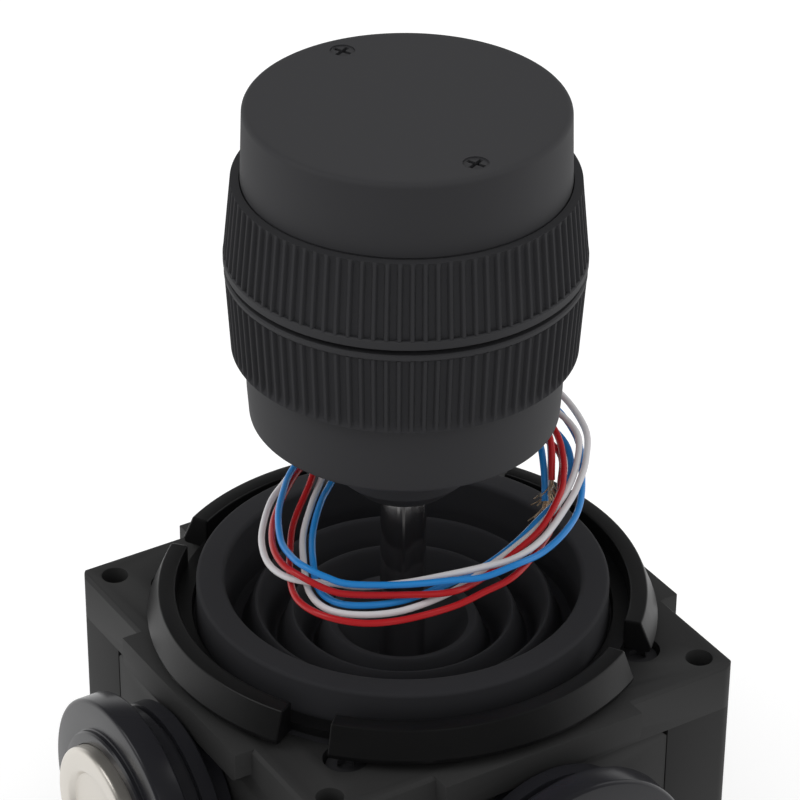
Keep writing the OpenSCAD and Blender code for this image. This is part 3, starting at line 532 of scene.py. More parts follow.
@dataclass
class Studio:
    """Camera, lamps, floor and pale surroundings.

    Attributes:
        stand: Camera's place in millimetres.
        ahead: Direction in which it looks.
        across: Direction to its right.
        lens: Focal length in millimetres on a 36 mm frame.
        ambient: Level of the even light from all round.
        dim: Level of the studio's dark front and ceiling, as gloss shows it.
    """

    stand: tuple[float, float, float] = (-211.81, -335.57, 281.78)
    ahead: tuple[float, float, float] = (0.4515, 0.7176, -0.5302)
    across: tuple[float, float, float] = (0.8489, -0.5286, 0.0074)
    lens: float = 165.49
    ambient: float = 0.8
    dim: float = 0.07

    def camera(self) -> None:
        """Sets up the camera."""
        ahead = Vector(self.ahead).normalized()
        across = Vector(self.across)
        across = (across - ahead * across.dot(ahead)).normalized()
        above = across.cross(ahead)
        data = bpy.data.cameras.new("camera")
        data.lens = self.lens
        data.clip_end = 10
        view = bpy.data.objects.new("camera", data)
        turn = Matrix((across, above, -ahead)).transposed().to_4x4()
        view.matrix_world = Matrix.Translation(Vector(self.stand) * MM) @ turn
        bpy.context.collection.objects.link(view)
        bpy.context.scene.camera = view

    def lamp(self, name: str, place: Sequence[float], size: float, power: float) -> None:
        """Hangs a square soft lamp that points at the knob.

        Args:
            name: Name of the lamp.
            place: Its place in metres.
            size: Its side in metres.
            power: Its power in watts.
        """
        data = bpy.data.lights.new(name, "AREA")
        data.shape = "SQUARE"
        data.size = size
        data.energy = power
        lamp = bpy.data.objects.new(name, data)
        lamp.location = place
        aim = Vector((0, 0, 0.03)) - Vector(place)
        lamp.rotation_euler = aim.to_track_quat("-Z", "Y").to_euler()
        bpy.context.collection.objects.link(lamp)

    def forwardness(self, tree: bpy.types.NodeTree, place: bpy.types.NodeSocket) -> bpy.types.NodeSocket:
        """Measures how far a direction or place lies on the studio's dim front side."""
        along = tree.nodes.new("ShaderNodeVectorMath")
        along.operation = "DOT_PRODUCT"
        along.inputs[1].default_value = Vector((-self.ahead[0], -self.ahead[1], 0)).normalized()
        tree.links.new(place, along.inputs[0])
        return along.outputs["Value"]

    def fade(self, tree: bpy.types.NodeTree, value: bpy.types.NodeSocket, start: float,
             end: float) -> bpy.types.NodeSocket:
        """Falls smoothly from 1 at a start value to 0 at an end value."""
        ramp = tree.nodes.new("ShaderNodeMapRange")
        ramp.interpolation_type = "SMOOTHSTEP"
        for name, level in (("From Min", start), ("From Max", end), ("To Min", 1.0), ("To Max", 0.0)):
            ramp.inputs[name].default_value = level
        tree.links.new(value, ramp.inputs["Value"])
        return ramp.outputs[0]

    def surroundings(self) -> None:
        """Makes a world that is white behind the object and softer overhead."""
        world = bpy.data.worlds.new("studio")
        world.use_nodes = True
        bpy.context.scene.world = world
        tree = world.node_tree
        tree.nodes.clear()
        new = tree.nodes.new
        link = tree.links.new
        path = new("ShaderNodeLightPath")
        place = new("ShaderNodeTexCoord")
        split = new("ShaderNodeSeparateXYZ")
        link(place.outputs["Generated"], split.inputs[0])
        high = self.fade(tree, split.outputs["Z"], 0.12, 0.5)
        front = self.fade(tree, self.forwardness(tree, place.outputs["Generated"]), -0.05, 0.6)
        both = new("ShaderNodeMath")
        both.operation = "MULTIPLY"
        link(high, both.inputs[0])
        link(front, both.inputs[1])
        sweep = new("ShaderNodeMapRange")
        sweep.inputs["To Min"].default_value = self.dim
        link(both.outputs[0], sweep.inputs["Value"])
        see = new("ShaderNodeMath")
        see.operation = "MAXIMUM"
        link(path.outputs["Is Glossy Ray"], see.inputs[0])
        link(path.outputs["Is Transmission Ray"], see.inputs[1])
        shiny = new("ShaderNodeMix")
        shiny.inputs[2].default_value = self.ambient
        link(see.outputs[0], shiny.inputs[0])
        link(sweep.outputs[0], shiny.inputs[3])
        seen = new("ShaderNodeMix")
        seen.inputs[3].default_value = 1.0
        link(path.outputs["Is Camera Ray"], seen.inputs[0])
        link(shiny.outputs[0], seen.inputs[2])
        sky = new("ShaderNodeBackground")
        link(seen.outputs[0], sky.inputs["Strength"])
        out = new("ShaderNodeOutputWorld")
        link(sky.outputs[0], out.inputs[0])

    def floor(self) -> None:
        """Lays the floor that the housing stands on."""
        clear_bench()
        bpy.ops.mesh.primitive_plane_add(size=6, location=(0, 0, CAD_BOX[0].z))
        ground = bpy.context.active_object
        ground.name = "floor"
        stuff = bpy.data.materials.new("floor_white")
        stuff.use_nodes = True
        tree = stuff.node_tree
        tree.nodes.clear()
        matt = tree.nodes.new("ShaderNodeBsdfDiffuse")
        matt.inputs[0].default_value = (0.62, 0.62, 0.62, 1)
        glow = tree.nodes.new("ShaderNodeEmission")
        glow.inputs["Strength"].default_value = 0.6
        both = tree.nodes.new("ShaderNodeAddShader")
        tree.links.new(matt.outputs[0], both.inputs[0])
        tree.links.new(glow.outputs[0], both.inputs[1])
        path = tree.nodes.new("ShaderNodeLightPath")
        lit = tree.nodes.new("ShaderNodeMixShader")
        tree.links.new(path.outputs["Is Camera Ray"], lit.inputs[0])
        tree.links.new(matt.outputs[0], lit.inputs[1])
        tree.links.new(both.outputs[0], lit.inputs[2])
        place = tree.nodes.new("ShaderNodeTexCoord").outputs["Object"]
        back = self.fade(tree, self.forwardness(tree, place), -0.02, 0.16)
        level = tree.nodes.new("ShaderNodeMapRange")
        level.inputs["To Min"].default_value = self.dim
        tree.links.new(back, level.inputs["Value"])
        mirrored = tree.nodes.new("ShaderNodeEmission")
        tree.links.new(level.outputs[0], mirrored.inputs["Strength"])
        shown = tree.nodes.new("ShaderNodeMixShader")
        tree.links.new(path.outputs["Is Glossy Ray"], shown.inputs[0])
        tree.links.new(lit.outputs[0], shown.inputs[1])
        tree.links.new(mirrored.outputs[0], shown.inputs[2])
        out = tree.nodes.new("ShaderNodeOutputMaterial")
        tree.links.new(shown.outputs[0], out.inputs[0])
        ground.data.materials.append(stuff)

    def build(self) -> None:
        """Sets up everything that isn't the object."""
        self.camera()
        self.surroundings()
        self.floor()
        self.lamp("key", (-0.9, 0.35, 0.95), 0.7, 2.6)
        self.lamp("fill", (0.95, -0.25, 0.7), 0.8, 1.6)
        self.lamp("front", (-0.2, -1.3, 0.9), 0.8, 0.7)
        bpy.context.scene.view_settings.view_transform = "Standard"
        LOG.info("studio stands")


BLUE_ROUTE = (
    (-1.3, 6.4, 29), (-1.3, 9, 29), (0.5, 13, 28.5), (6, 16.5, 28), (13, 16, 27),
    (19, 12, 26), (22.5, 6.5, 24), (23, 0.5, 22), (22.5, -4.5, 20.5), (20.6, -9.6, 20.2),
    (17.5, -13.5, 19.5), (14, -17, 20), (10, -19, 19.5), (6, -20.5, 20), (0, -21.5, 20),
    (-6.5, -21.5, 20), (-9.5, -20.8, 20.5), (-12.5, -19, 21), (-14.2, -16, 20.5), (-15.5, -12, 20),
    (-16, -6, 20), (-15.5, -0.5, 20), (-14.5, 4.5, 20), (-11.5, 9.5, 21), (-7, 13, 22), (-1, 15, 23),
    (5.5, 15.2, 24), (12, 13.5, 24.7), (17.5, 9.5, 25), (21, 5, 24), (21.5, 0, 22.5), (20, -4, 21.5),
    (17.5, -7.5, 20.8), (14, -11, 19), (10, -14, 17.5), (5.5, -17.5, 17.3), (0, -21.5, 17.6),
    (-5, -22.5, 17.5), (-8.5, -21.5, 17.3), (-10.7, -18.5, 17.3), (-11.4, -14, 18.1),
    (-11.6, -8, 18.2), (-10.9, -3, 19), (-9.7, 2, 19), (-7, 7.5, 20.5), (-2.5, 11.2, 22),
    (3.5, 11.8, 23.5), (9.5, 10.5, 25), (14.5, 7, 26), (17.2, 3, 26), (18, 0.2, 23.5),
    (18.2, -2.5, 20),
)
WHITE_ROUTE = (
    (0, 6.4, 29), (0, 9, 29), (2, 14, 29.5), (7.5, 17.5, 29), (14, 17, 28.5),
    (20, 12.5, 27.5), (23.5, 6.5, 25.5), (23.5, 1.5, 24), (22.5, -2.5, 23), (21, -6, 22),
    (17.7, -11.9, 20.7), (14, -15.5, 20), (10, -17.5, 20), (5.5, -19.3, 20), (0, -20, 19.2),
    (-5, -20, 18.6), (-9, -19.3, 18.6), (-12.4, -18.5, 18.3), (-15.2, -17, 18.2), (-17.2, -13.5, 17.8),
    (-18.1, -8.5, 17.6), (-17.9, -3, 17.2), (-17.1, 2, 17), (-15.4, 6, 17.3), (-12.5, 11, 19),
    (-8, 14.8, 20.5), (-1.5, 17, 22), (5.5, 17, 23.5), (12.5, 15, 25), (18.6, 10.8, 26.2),
    (22.3, 5, 25.8), (22.3, 0.8, 23.8), (20.6, -4.6, 22.5), (17.5, -9, 20.8), (14, -12.5, 19.5),
    (10, -15.5, 18), (6, -19.3, 17.4), (0, -23.5, 17.5), (-5.4, -24.5, 17.5), (-9.5, -23, 17.3),
    (-11.8, -19, 17.1), (-12.6, -14, 18.2), (-12.8, -8, 18.2), (-12, -3, 19), (-10.9, 2, 19.4),
    (-8.8, 8, 21.5), (-3.5, 12.3, 23.3), (3, 13, 25), (9.5, 11.3, 26.5), (15, 7.5, 27.3),
    (18.3, 4, 26.5), (19, 2.5, 24), (18.9, 1, 19.5),
)
RED_ROUTE = (
    (1.3, 6.4, 29), (1.3, 9, 29), (3.5, 12.5, 28.5), (8.5, 14.2, 28), (13.5, 13, 27.3),
    (17.5, 9.5, 26.5), (19.8, 5, 25.5), (20.5, 0.5, 24.6), (20.4, -3, 23.8), (19.8, -6, 23.2),
    (17.4, -10.4, 21.1), (14, -14, 19.8), (10, -17, 18), (6, -21, 18.6), (0, -22, 18.8),
    (-6.5, -22, 18.8), (-9.5, -21.5, 19.2), (-13, -19.5, 19.9), (-15.2, -16.8, 19.8),
    (-16.5, -12.5, 19.5), (-16.7, -6.5, 18.9), (-15.8, -1, 18.8), (-14, 5.5, 18.8), (-11.3, 9.8, 19.5),
    (-7, 12.5, 20.5), (-1, 14, 21.5), (5.5, 13.8, 22.5), (11.5, 12, 23.3), (16.5, 8.5, 23.8),
    (20.2, 4, 23.2), (20.2, -0.5, 21.5), (19.3, -6, 19.5), (17.5, -11, 19), (14, -17, 18.4),
    (10, -19.5, 17.5), (6, -22, 17), (0, -25.5, 17.5), (-5, -26, 17.3), (-9.8, -24.5, 17.3),
    (-13, -21, 17), (-14.2, -16.5, 17), (-14.4, -10, 17.6), (-14, -5, 18.4), (-12.1, 1.5, 20),
    (-10.3, 7.5, 22.5), (-5, 12.5, 24.8), (1.5, 13, 26.8), (8.3, 11.2, 28), (14, 7.5, 28.5),
    (17.8, 3, 28), (18.9, 1, 26.5), (19, -1.5, 22.6),
)


@dataclass
class Lead:
    """One insulated lead, wound loosely round the stick, with a stripped and frayed end.

    Attributes:
        node: Node that it stands for.
        route: Its points in the lay frame, in millimetres.
        finish: Finish of the insulation.
        bare: Length of the stripped end in millimetres.
        strands: Number of wires in the stripped end.
    """

    node: str
    route: tuple[tuple[float, float, float], ...]
    finish: Finish
    bare: float = 3.2
    strands: int = 7
    lay_turn: float = -32.0
    radius: float = 0.45

    def points(self) -> list[Vector]:
        """Gives the route in the object's frame, in metres."""
        turn = Matrix.Rotation(math.radians(self.lay_turn), 3, "Z")
        return [turn @ Vector(point) * MM for point in self.route]

    def sheath(self) -> bpy.types.Object:
        """Makes the insulated length as a smooth round cord.

        Returns:
            The curve object.
        """
        points = self.points()
        curve = bpy.data.curves.new(f"{self.node}_lead", "CURVE")
        curve.dimensions = "3D"
        curve.bevel_depth = self.radius * MM
        curve.bevel_resolution = 3
        curve.resolution_u = 6
        curve.use_fill_caps = True
        line = curve.splines.new("BEZIER")
        line.bezier_points.add(len(points) - 1)
        ends = [points[0] * 2 - points[1], *points, points[-1] * 2 - points[-2]]
        for knot, before, here, after in zip(line.bezier_points, ends, points, ends[2:]):
            pull = (after - before) / 6
            knot.handle_left_type = knot.handle_right_type = "FREE"
            knot.co = here
            knot.handle_left = here - pull
            knot.handle_right = here + pull
        cord = bpy.data.objects.new(f"{self.node}_lead", curve)
        bpy.context.collection.objects.link(cord)
        return cord

    def length(self) -> float:
        """Measures the smooth route in metres."""
        points = self.points()
        ends = [points[0] * 2 - points[1], *points, points[-1] * 2 - points[-2]]
        total = 0.0
        for before, here, after, later in zip(ends, ends[1:], ends[2:], ends[3:]):
            last = here
            for i in range(1, 9):
                t = i / 8
                spot = 0.5 * (2 * here + (after - before) * t
                              + (2 * before - 5 * here + 4 * after - later) * t ** 2
                              + (3 * here - before - 3 * after + later) * t ** 3)
                total += (spot - last).length
                last = spot
        return total

    def fray(self) -> bpy.types.Object:
        """Makes the splayed bare strands at the free end.

        Returns:
            The strands as one mesh.
        """
        points = self.points()
        tip, ahead = points[-1], (points[-1] - points[-2]).normalized()
        side = ahead.orthogonal().normalized()
        curve = bpy.data.curves.new(f"{self.node}_strands", "CURVE")
        curve.dimensions = "3D"
        curve.bevel_depth = 0.085 * MM
        curve.bevel_resolution = 1
        curve.use_fill_caps = True
        for i in range(self.strands):
            out = Matrix.Rotation(2.4 * i, 3, ahead) @ side
            splay = (0.25 + 0.75 * i / self.strands) * self.bare * MM
            reach = self.bare * MM * (1 - 0.09 * (i % 4))
            line = curve.splines.new("POLY")
            line.points.add(5)
            for k, point in enumerate(line.points):
                t = k / 5
                spot = tip + ahead * reach * t - ahead * 0.2 * MM
                spot += out * (0.14 * MM + splay * t ** 2 * 0.8)
                spot += ahead.cross(out) * 0.25 * MM * math.sin(5 * t + i)
                point.co = (*spot, 1)
        bundle = bpy.data.objects.new(f"{self.node}_strands", curve)
        bpy.context.collection.objects.link(bundle)
        activate(bundle)
        bpy.ops.object.convert(target="MESH")
        return bpy.context.active_object

    def build(self) -> None:
        """Makes the lead and its bare end."""
        cord = dress(self.sheath(), self.finish, "stick_body", self.node)
        strands = dress(self.fray(), STRAND, "stick_body")


@dataclass
class Knob:
    """The twist knob: cap, base, two ribbed sleeves and the cap's screws.

    Attributes:
        crown_r: Radius of the cap at its top edge.
        seat_r: Radius of the seat under the sleeves.
        bore_r: Radius of the space inside.
        rounding: Radius of the cap's top edge.
        ribs: Ribs round each sleeve.
        rib_h: How far a rib stands out.
    """

    crown_r: float = 20.2
    seat_r: float = 20.5
    bore_r: float = 17.6
    rounding: float = 0.75
    ribs: int = 90
    rib_h: float = 0.55
    screw_at: float = 16.7
    screw_turns: tuple[float, float] = (87.0, -93.0)
    head_r: float = 2.72
    axis: Axis = Axis.STICK

    def cap(self) -> None:
        """Turns the cap and countersinks its two screw holes."""
        low, high = span("knob_cap")
        grip_low, grip_high = span("upper_grip")
        top, rim = high.z, high.x
        edge = arc((self.crown_r - self.rounding, top - self.rounding), self.rounding, 90, 4, 6)
        outline = [(0, top), (8, top), (18, top), (self.crown_r - 1.4, top), *edge,
                   (self.seat_r - 0.02, grip_high.z + 0.15), (self.seat_r - 0.15, grip_high.z),
                   (self.seat_r - 0.15, grip_low.z), (rim - 0.2, grip_low.z), (rim, grip_low.z - 0.18),
                   (rim, low.z + 0.2), (rim - 0.2, low.z), (self.bore_r, low.z),
                   (self.bore_r, top - 3), (0, top - 3)]
        cap = turned("knob_cap_shell", self.axis, outline, 180)
        cutter = self.countersinks(top)
        finish_modifier(cap, "BOOLEAN", operation="DIFFERENCE", object=cutter, solver="EXACT")
        bpy.data.objects.remove(cutter)
        activate(cap)
        bpy.ops.object.shade_smooth_by_angle(angle=math.radians(30))
        dress(cap, KNOB, "knob_body", "knob_cap")

    def screw_spots(self) -> list[Vector]:
        """Gives the two screws' places on the axis plane, in metres."""
        return [
            Matrix.Rotation(math.radians(turn), 3, "Z") @ Vector((self.screw_at, 0, 0)) * MM
            for turn in self.screw_turns
        ]

    def countersinks(self, top: float) -> bpy.types.Object:
        """Makes the shape that is cut out of the cap for the screws.

        Args:
            top: Height of the cap's top in millimetres.

        Returns:
            The cutter.
        """
        clear_bench()
        made = []
        for spot in self.screw_spots():
            for low_r, high_r, depth, below in ((1.6, 1.6, 5, 4.9), (1.6, 3.0, 1.8, 1.7)):
                bpy.ops.mesh.primitive_cone_add(
                    vertices=48, radius1=low_r * MM, radius2=high_r * MM, depth=depth * MM,
                    location=(spot.x, spot.y, (top - below + depth / 2) * MM))
                made.append(bpy.context.active_object)
        for part in made:
            part.select_set(True)
        cutter = made[0]
        bpy.context.view_layer.objects.active = cutter
        bpy.ops.object.join()
        bpy.ops.object.transform_apply(location=True, rotation=True, scale=True)
        return cutter

    def base(self) -> None:
        """Turns the lower shell."""
        low, high = span("knob_base")
        grip_low, grip_high = span("lower_grip")
        rim = high.x
        split = grip_high.z + 0.8
        outline = [(10.5, low.z), (18.9, low.z), *arc((19.1, low.z + 0.7), 0.7, -80, -4, 4),
                   (20.05, 36.5), (20.25, grip_low.z - 0.1), (20.15, grip_low.z),
                   (self.seat_r - 0.1, grip_low.z + 0.2),
                   (self.seat_r - 0.1, grip_high.z), (rim - 0.15, grip_high.z), (rim, grip_high.z + 0.15),
                   (rim, split - 0.2), (rim - 0.2, split), (20.3, split), (20.3, high.z),
                   (self.bore_r, high.z), (self.bore_r, low.z + 3), (10.5, low.z + 3)]
        dress(turned("knob_base_shell", self.axis, outline, 180), KNOB, "knob_body", "knob_base")

    def sleeve(self, node: str, r_low: float, r_high: float, round_top: bool) -> None:
        """Makes a fluted sleeve: one flute is drawn row by row and copied round.

        Args:
            node: Node that it replaces.
            r_low: Radius over the ribs at the bottom.
            r_high: Radius over the ribs at the top.
            round_top: Whether the flutes run out at the top, or else at the bottom.
        """
        low, high = span(node)
        height = high.z - low.z
        pitch = FULL_TURN / self.ribs
        across = (-0.5, -0.4, -0.26, -0.19, -0.14, -0.09, 0.09, 0.14, 0.19, 0.26, 0.4, 0.5)
        sunk = (1, 1, 0.95, 0.6, 0.14, 0, 0, 0.14, 0.6, 0.95, 1, 1)
        run_out = ((0, 0), (0.1, 0.25), (0.28, 0.5), (0.55, 0.72), (0.85, 0.88), (1.2, 0.97), (1.5, 1))
        rows = [(0.0, 1.0), *((height - z, deep) for z, deep in reversed(run_out))]
        if not round_top:
            rows = [*run_out, (height, 1.0)]
        clear_bench()
        bpy.ops.mesh.primitive_grid_add(
            x_subdivisions=len(across) - 1, y_subdivisions=len(rows) - 1, size=MM)
        piece = bpy.context.active_object
        piece.name = f"{node}_sleeve"
        for vert in piece.data.vertices:
            row, column = divmod(vert.index, len(across))
            z, deep = rows[row]
            radius = r_low + (r_high - r_low) * z / height - self.rib_h * sunk[column] * deep
            angle = pitch * across[column]
            vert.co = Vector((radius * math.cos(angle), radius * math.sin(angle), low.z + z)) * MM
        bpy.ops.object.mode_set(mode="EDIT")
        bpy.ops.mesh.select_all(action="SELECT")
        bpy.ops.mesh.spin(steps=self.ribs - 1, dupli=True, angle=FULL_TURN - pitch, axis=(0, 0, 1))
        bpy.ops.mesh.select_all(action="SELECT")
        bpy.ops.mesh.remove_doubles(threshold=MERGE)
        bpy.ops.mesh.select_mode(type="EDGE")
        bpy.ops.mesh.region_to_loop()
        bpy.ops.mesh.extrude_edges_move()
        bpy.ops.object.mode_set(mode="OBJECT")
        for vert in piece.data.vertices:
            if vert.select:
                flat = Vector((vert.co.x, vert.co.y, 0))
                vert.co -= flat * (1 - (self.seat_r + 0.1) * MM / flat.length)
        bpy.ops.object.mode_set(mode="EDIT")
        bpy.ops.mesh.bridge_edge_loops()
        bpy.ops.mesh.select_all(action="SELECT")
        bpy.ops.mesh.normals_make_consistent(inside=False)
        activate(piece)
        bpy.ops.object.shade_smooth_by_angle(angle=math.radians(38))
        dress(piece, GRIP, "knob_body", node)

    def screw(self, number: int, spot: Vector, top: float) -> bpy.types.Object:
        """Makes one countersunk screw with a cross recess.

        Args:
            number: Which screw it is.
            spot: Its place on the axis plane, in metres.
            top: Height of the cap's top in millimetres.

        Returns:
            The screw.
        """
        outline = [(0, top - 0.12), (self.head_r - 0.35, top - 0.12), (self.head_r - 0.06, top - 0.2),
                   (self.head_r, top - 0.32), (1.5, top - 1.72), (1.5, 46), (0, 46)]
        piece = turned(f"cap_screw_{number}", self.axis, outline, 48)
        clear_bench()
        arms = []
        for turn in (0, 90):
            bpy.ops.mesh.primitive_cube_add(size=1)
            arm = bpy.context.active_object
            bpy.ops.object.mode_set(mode="EDIT")
            bpy.ops.transform.resize(value=(2.9 * MM, 0.62 * MM, 2.0 * MM))
            bpy.ops.object.mode_set(mode="OBJECT")
            for vert in arm.data.vertices:
                if vert.co.z < 0:
                    vert.co.x *= 0.55
                    vert.co.y *= 0.6
            arm.data.transform(Matrix.Rotation(math.radians(turn + 24), 4, "Z"))
            arm.data.transform(Matrix.Translation((0, 0, (top - 0.5) * MM)))
            arms.append(arm)
        for arm in arms:
            finish_modifier(piece, "BOOLEAN", operation="DIFFERENCE", object=arm, solver="EXACT")
            bpy.data.objects.remove(arm)
        piece.data.transform(Matrix.Translation(spot))
        activate(piece)
        bpy.ops.object.shade_smooth_by_angle(angle=math.radians(30))
        return piece

    def build(self) -> None:
        """Makes the whole knob."""
        self.cap()
        self.base()
        self.sleeve("upper_grip", 22.7, 21.7, True)
        self.sleeve("lower_grip", 21.95, 22.6, False)
        top = span("knob_cap")[1].z
        screws = [self.screw(i + 1, spot, top) for i, spot in enumerate(self.screw_spots())]
        activate(screws[0])
        screws[1].select_set(True)
        bpy.ops.object.join()
        screws[0].name = "cap_screws_pair"
        dress(screws[0], BLACK_SCREW, "knob_body", "cap_screws")


@dataclass
class Boot:
    """The folded rubber boot, in an outer and an inner zone, and the ring that clamps it.

    Attributes:
        bead_in: Inner radius of the thick rim.
        seam_r: Radius at which the two zones meet, on a fold's crest.
        neck_r: Radius of the collar on the stick.
        pitch: Distance between folds.
        first_r: Radius of the innermost crest.
        depth: Depth of a fold.
        rise: How steeply the folds climb outwards.
        wall: Thickness of the rubber.
    """

    bead_in: float = 23.3
    seam_r: float = 14.4
    neck_r: float = 4.4
    pitch: float = 4.8
    first_r: float = 9.6
    depth: float = 5.2
    rise: float = 0.31
    wall: float = 1.0
    gaps: int = 4
    gap_turn: float = -54.0
    gap_angle: float = 11.6
    axis: Axis = Axis.STICK

    def height(self, radius: float) -> float:
        """Gives the height of the folded surface at a radius, in millimetres."""
        out = radius - self.first_r
        return self.rise * out - self.depth * (1 - math.cos(FULL_TURN * out / self.pitch)) / 2

    def folds(self, start: float, end: float, steps: int) -> list[Point]:
        """Gives points along the folds between two radii."""
        radii = [start + (end - start) * i / steps for i in range(steps + 1)]
        return [(r, self.height(r)) for r in radii]

    def bend(self, piece: bpy.types.Object) -> None:
        """Meant for a round piece between two bodies: sets each point briefly to its distance from the
        stick, bakes the piece's placement and puts the points back, so nothing bends.

        Args:
            piece: The piece.
        """
        verts = piece.data.vertices
        shape = [vert.co.copy() for vert in verts]
        for vert in verts:
            vert.co = Vector((0, 0, -math.hypot(vert.co.x, vert.co.y)))
        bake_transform(piece)
        for vert, place in zip(verts, shape):
            vert.co = place

    def zones(self) -> None:
        """Turns the outer and the inner zone of the boot."""
        low, high = span("boot")
        flange = high.x
        valley = self.first_r + 2.5 * self.pitch
        upper = self.folds(self.seam_r, valley, 36)
        deep = self.height(valley)
        lip = arc((self.bead_in + 0.7, high.z - 0.7), 0.7, 180, 90, 5)
        shoulder = arc((27.1 - 0.6, high.z - 0.6), 0.6, 90, 0, 5)
        outer = [*upper, (22.6, deep + 0.35), (self.bead_in - 0.12, deep + 1.6),
                 (self.bead_in, deep + 3), *lip,
                 *shoulder, (27.1, 1.9), (27.3, 1.2), (flange, 1.2), (flange, 0), (24.6, 0),
                 (24.2, deep - 0.6), (valley, deep - self.wall),
                 *((r, z - self.wall) for r, z in reversed(upper[:-1]))]
        skirt = turned("boot_outer_folds", self.axis, outer, 144)
        dress(skirt, RUBBER, None, "boot")
        inner = self.folds(self.first_r, self.seam_r, 30)
        bore = span("shaft")[1].x + 0.06
        tail = [(self.first_r - 0.9, self.height(self.first_r) - 0.3), (self.neck_r + 1.9, -4.4),
                (self.neck_r + 0.6, -6.6), (self.neck_r, -7.4), (self.neck_r - 0.3, -7.6),
                 (bore, -7.6), (bore, low.z),
                (self.neck_r, low.z), (self.neck_r + 0.3, -9.6), (self.neck_r + 1.1, -7.4),
                (self.first_r - 1.7, self.height(self.first_r) - 1.9)]
        profile = [*reversed(inner), *tail, *((r, z - self.wall) for r, z in inner)]
        sock = turned("boot_inner_folds", self.axis, profile, 144)
        dress(sock, RUBBER, None, "boot")
        self.bend(skirt)
        self.bend(sock)

    def ring(self) -> None:
        """Makes the clamp ring: four raised arcs on a low inner wall."""
        low, high = span("boot_ring")
        top = high.z
        wall = [(27.6, 1.25), (27.6, 2.25), (27.75, 2.4), (30.0, 2.4), (30.0, 1.25)]
        inner_wall = turned("boot_ring_wall", self.axis, wall, 144)
        section = [(29.8, 0.95), (29.8, top - 0.35), *arc((30.1, top - 0.3), 0.3, 170, 90, 3),
                   *arc((31.9, top - 0.3), 0.3, 90, 15, 3), (33.45, 2.1), (33.6, 1.75),
                    (33.45, 1.1), (33.1, 0.9)]
        solid = math.radians(360 / self.gaps - self.gap_angle)
        bench = Bench("boot_ring_arcs")
        bench.trace([self.axis.spot(*corner) for corner in section])
        bpy.ops.mesh.select_all(action="SELECT")
        bpy.ops.mesh.edge_face_add()
        bpy.ops.mesh.spin(steps=40, angle=solid, center=(0, 0, 0), axis=(0, 0, 1))
        bench.spin(self.axis, self.gaps - 1, FULL_TURN * (self.gaps - 1) / self.gaps, copies=True)
        arcs = bench.close()
        finish_modifier(arcs, "BEVEL", width=0.22 * MM, segments=2, limit_method="ANGLE",
                        angle_limit=math.radians(60), use_clamp_overlap=True)
        arcs.data.transform(Matrix.Rotation(math.radians(self.gap_turn - self.gap_angle / 2), 4, "Z"))
        activate(arcs)
        inner_wall.select_set(True)
        bpy.ops.object.join()
        bpy.ops.object.shade_smooth_by_angle(angle=math.radians(32))
        dress(arcs, RING, "housing_body", "boot_ring")

    def build(self) -> None:
        """Makes the boot and its ring."""
        self.zones()
        self.ring()


@dataclass
class Housing:
    """Moulded plate and housing with their panels, all with eased edges."""

    def build(self) -> None:
        """Copies the square pieces and rounds their edges."""
        widths = {"top_plate": 0.22, "housing": 0.25, "pot_panel_x": 0.25, "pot_panel_y": 0.25}
        for node, width in widths.items():
            dress(eased(node, width), HOUSING, "housing_body", node)


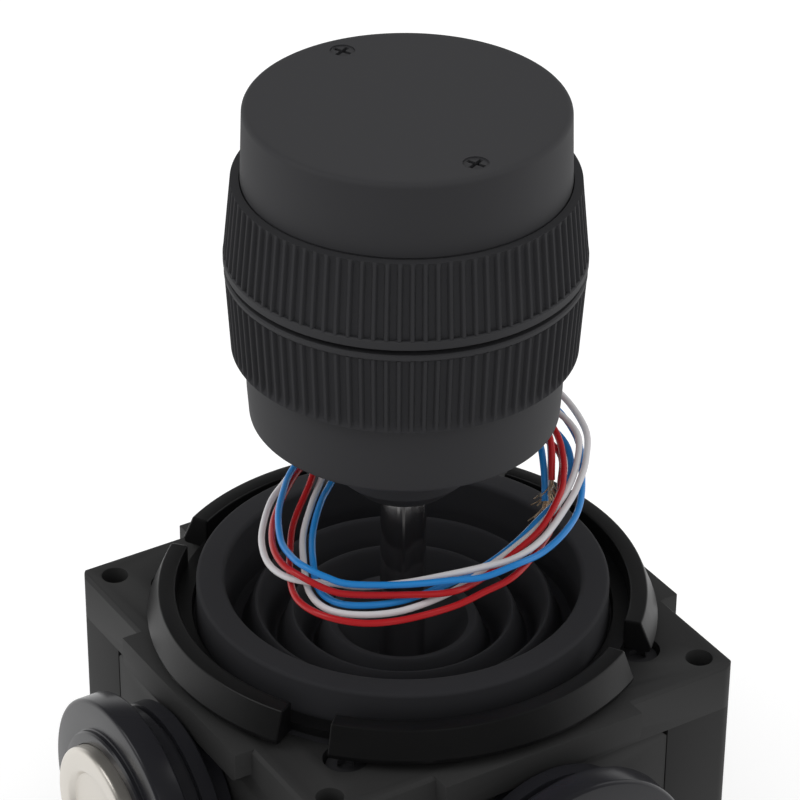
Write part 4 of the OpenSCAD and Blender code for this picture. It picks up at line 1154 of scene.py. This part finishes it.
@dataclass
class Potentiometers:
    """The two potentiometers on the sides: turned cases with bright metal caps.

    Attributes:
        case_end: Distance of the case's face from the stick's axis.
        drum_r: Radius of the drum.
        neck_r: Radius of the neck.
        cap_end: Distance of the cap's face from the stick's axis.
        cap_r: Radius of the cap.
    """

    case_end: float = 43.6
    drum_r: float = 16.2
    neck_r: float = 13.3
    cap_end: float = 46.4
    cap_r: float = 10.5

    def case(self, side: Axis, node: str) -> None:
        """Turns a case: a grooved neck and a wider drum with a raised face."""
        end = self.case_end
        drum = self.drum_r
        neck = self.neck_r
        root = span("bearing_panel_x")[1].x - 1.2
        disc = span("top_plate")[1].x + 0.35
        bushing = [(3.06, end - 3.4), (3.06, 26.1), (4.6, 26.1), (4.6, root), (7.5, root),
                   (7.5, root + 0.4), (11.2, root + 0.4), (11.2, disc)]
        groove = [(neck - 0.35, disc), (neck, disc + 0.35), (neck, 36.6), (neck - 0.25, 36.7),
                  (neck - 0.8, 36.75), (neck - 0.8, 37.25), (neck - 0.25, 37.3), (neck, 37.4)]
        body = [(neck, 39.8), (drum - 0.5, 39.8), *arc((drum - 0.45, 40.25), 0.45, -80, 0, 3),
                *arc((drum - 0.5, end - 0.5), 0.5, 0, 90, 4)]
        face = [(12.25, end), (12.1, end + 0.12), (12.1, end + 0.6), (11.9, end + 0.85),
                (11.7, end + 0.9), (10.6, end + 0.9), (10.55, end - 0.4), (0, end - 0.4)]
        outline = [*bushing, *groove, *body, *face, (0, end - 3.4)]
        dress(turned(f"{node}_case", side, outline, 128), POT_BLACK, "housing_body", node)

    def cap(self, side: Axis, node: str) -> None:
        """Turns a bright cap with a rolled edge and a dished face."""
        end = self.cap_end
        rim = self.cap_r
        outline = [(0, 43.25), (rim, 43.25), *arc((rim - 0.7, end - 0.7), 0.7, 0, 90, 6), (7.7, end),
                   (7.45, end - 0.08), (7.2, end - 0.3), (6.9, end - 0.72), (6.6, end - 0.8),
                   (0, end - 0.8)]
        dress(turned(f"{node}_shell", side, outline, 96), POT_METAL, "housing_body", node)

    def build(self) -> None:
        """Makes both potentiometers."""
        for side, letter in ((Axis.LEFT, "x"), (Axis.FRONT, "y")):
            self.case(side, f"pot_body_{letter}")
            self.cap(side, f"pot_cap_{letter}")


@dataclass
class Stick:
    """The polished shaft and the hub that carries the knob."""

    def build(self) -> None:
        """Makes the shaft and the hub."""
        dress(eased("shaft", 0.15), SHAFT, "stick_body", "shaft")
        dress(eased("knob_hub", 0.2), KNOB, "stick_body", "knob_hub")


def carry() -> None:
    """Gives every carried node its finish."""
    for finish, nodes in CARRIED.items():
        for node in nodes:
            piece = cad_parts[node]
            for slot in piece.material_slots:
                slot.link = "OBJECT"
                slot.material = finish.material()


def main() -> None:
    """Builds the scene piece by piece."""
    Studio().build()
    for lead in (
        Lead("wire_blue", BLUE_ROUTE, BLUE_WIRE),
        Lead("wire_white", WHITE_ROUTE, WHITE_WIRE),
        Lead("wire_red", RED_ROUTE, RED_WIRE),
    ):
        lead.build()
    carry()
    for assembly in (Housing(), Boot(), Potentiometers(), Stick(), Knob()):
        assembly.build()


if __name__ == "__main__":
    logging.basicConfig(level=logging.INFO, format="%(message)s")
    main()
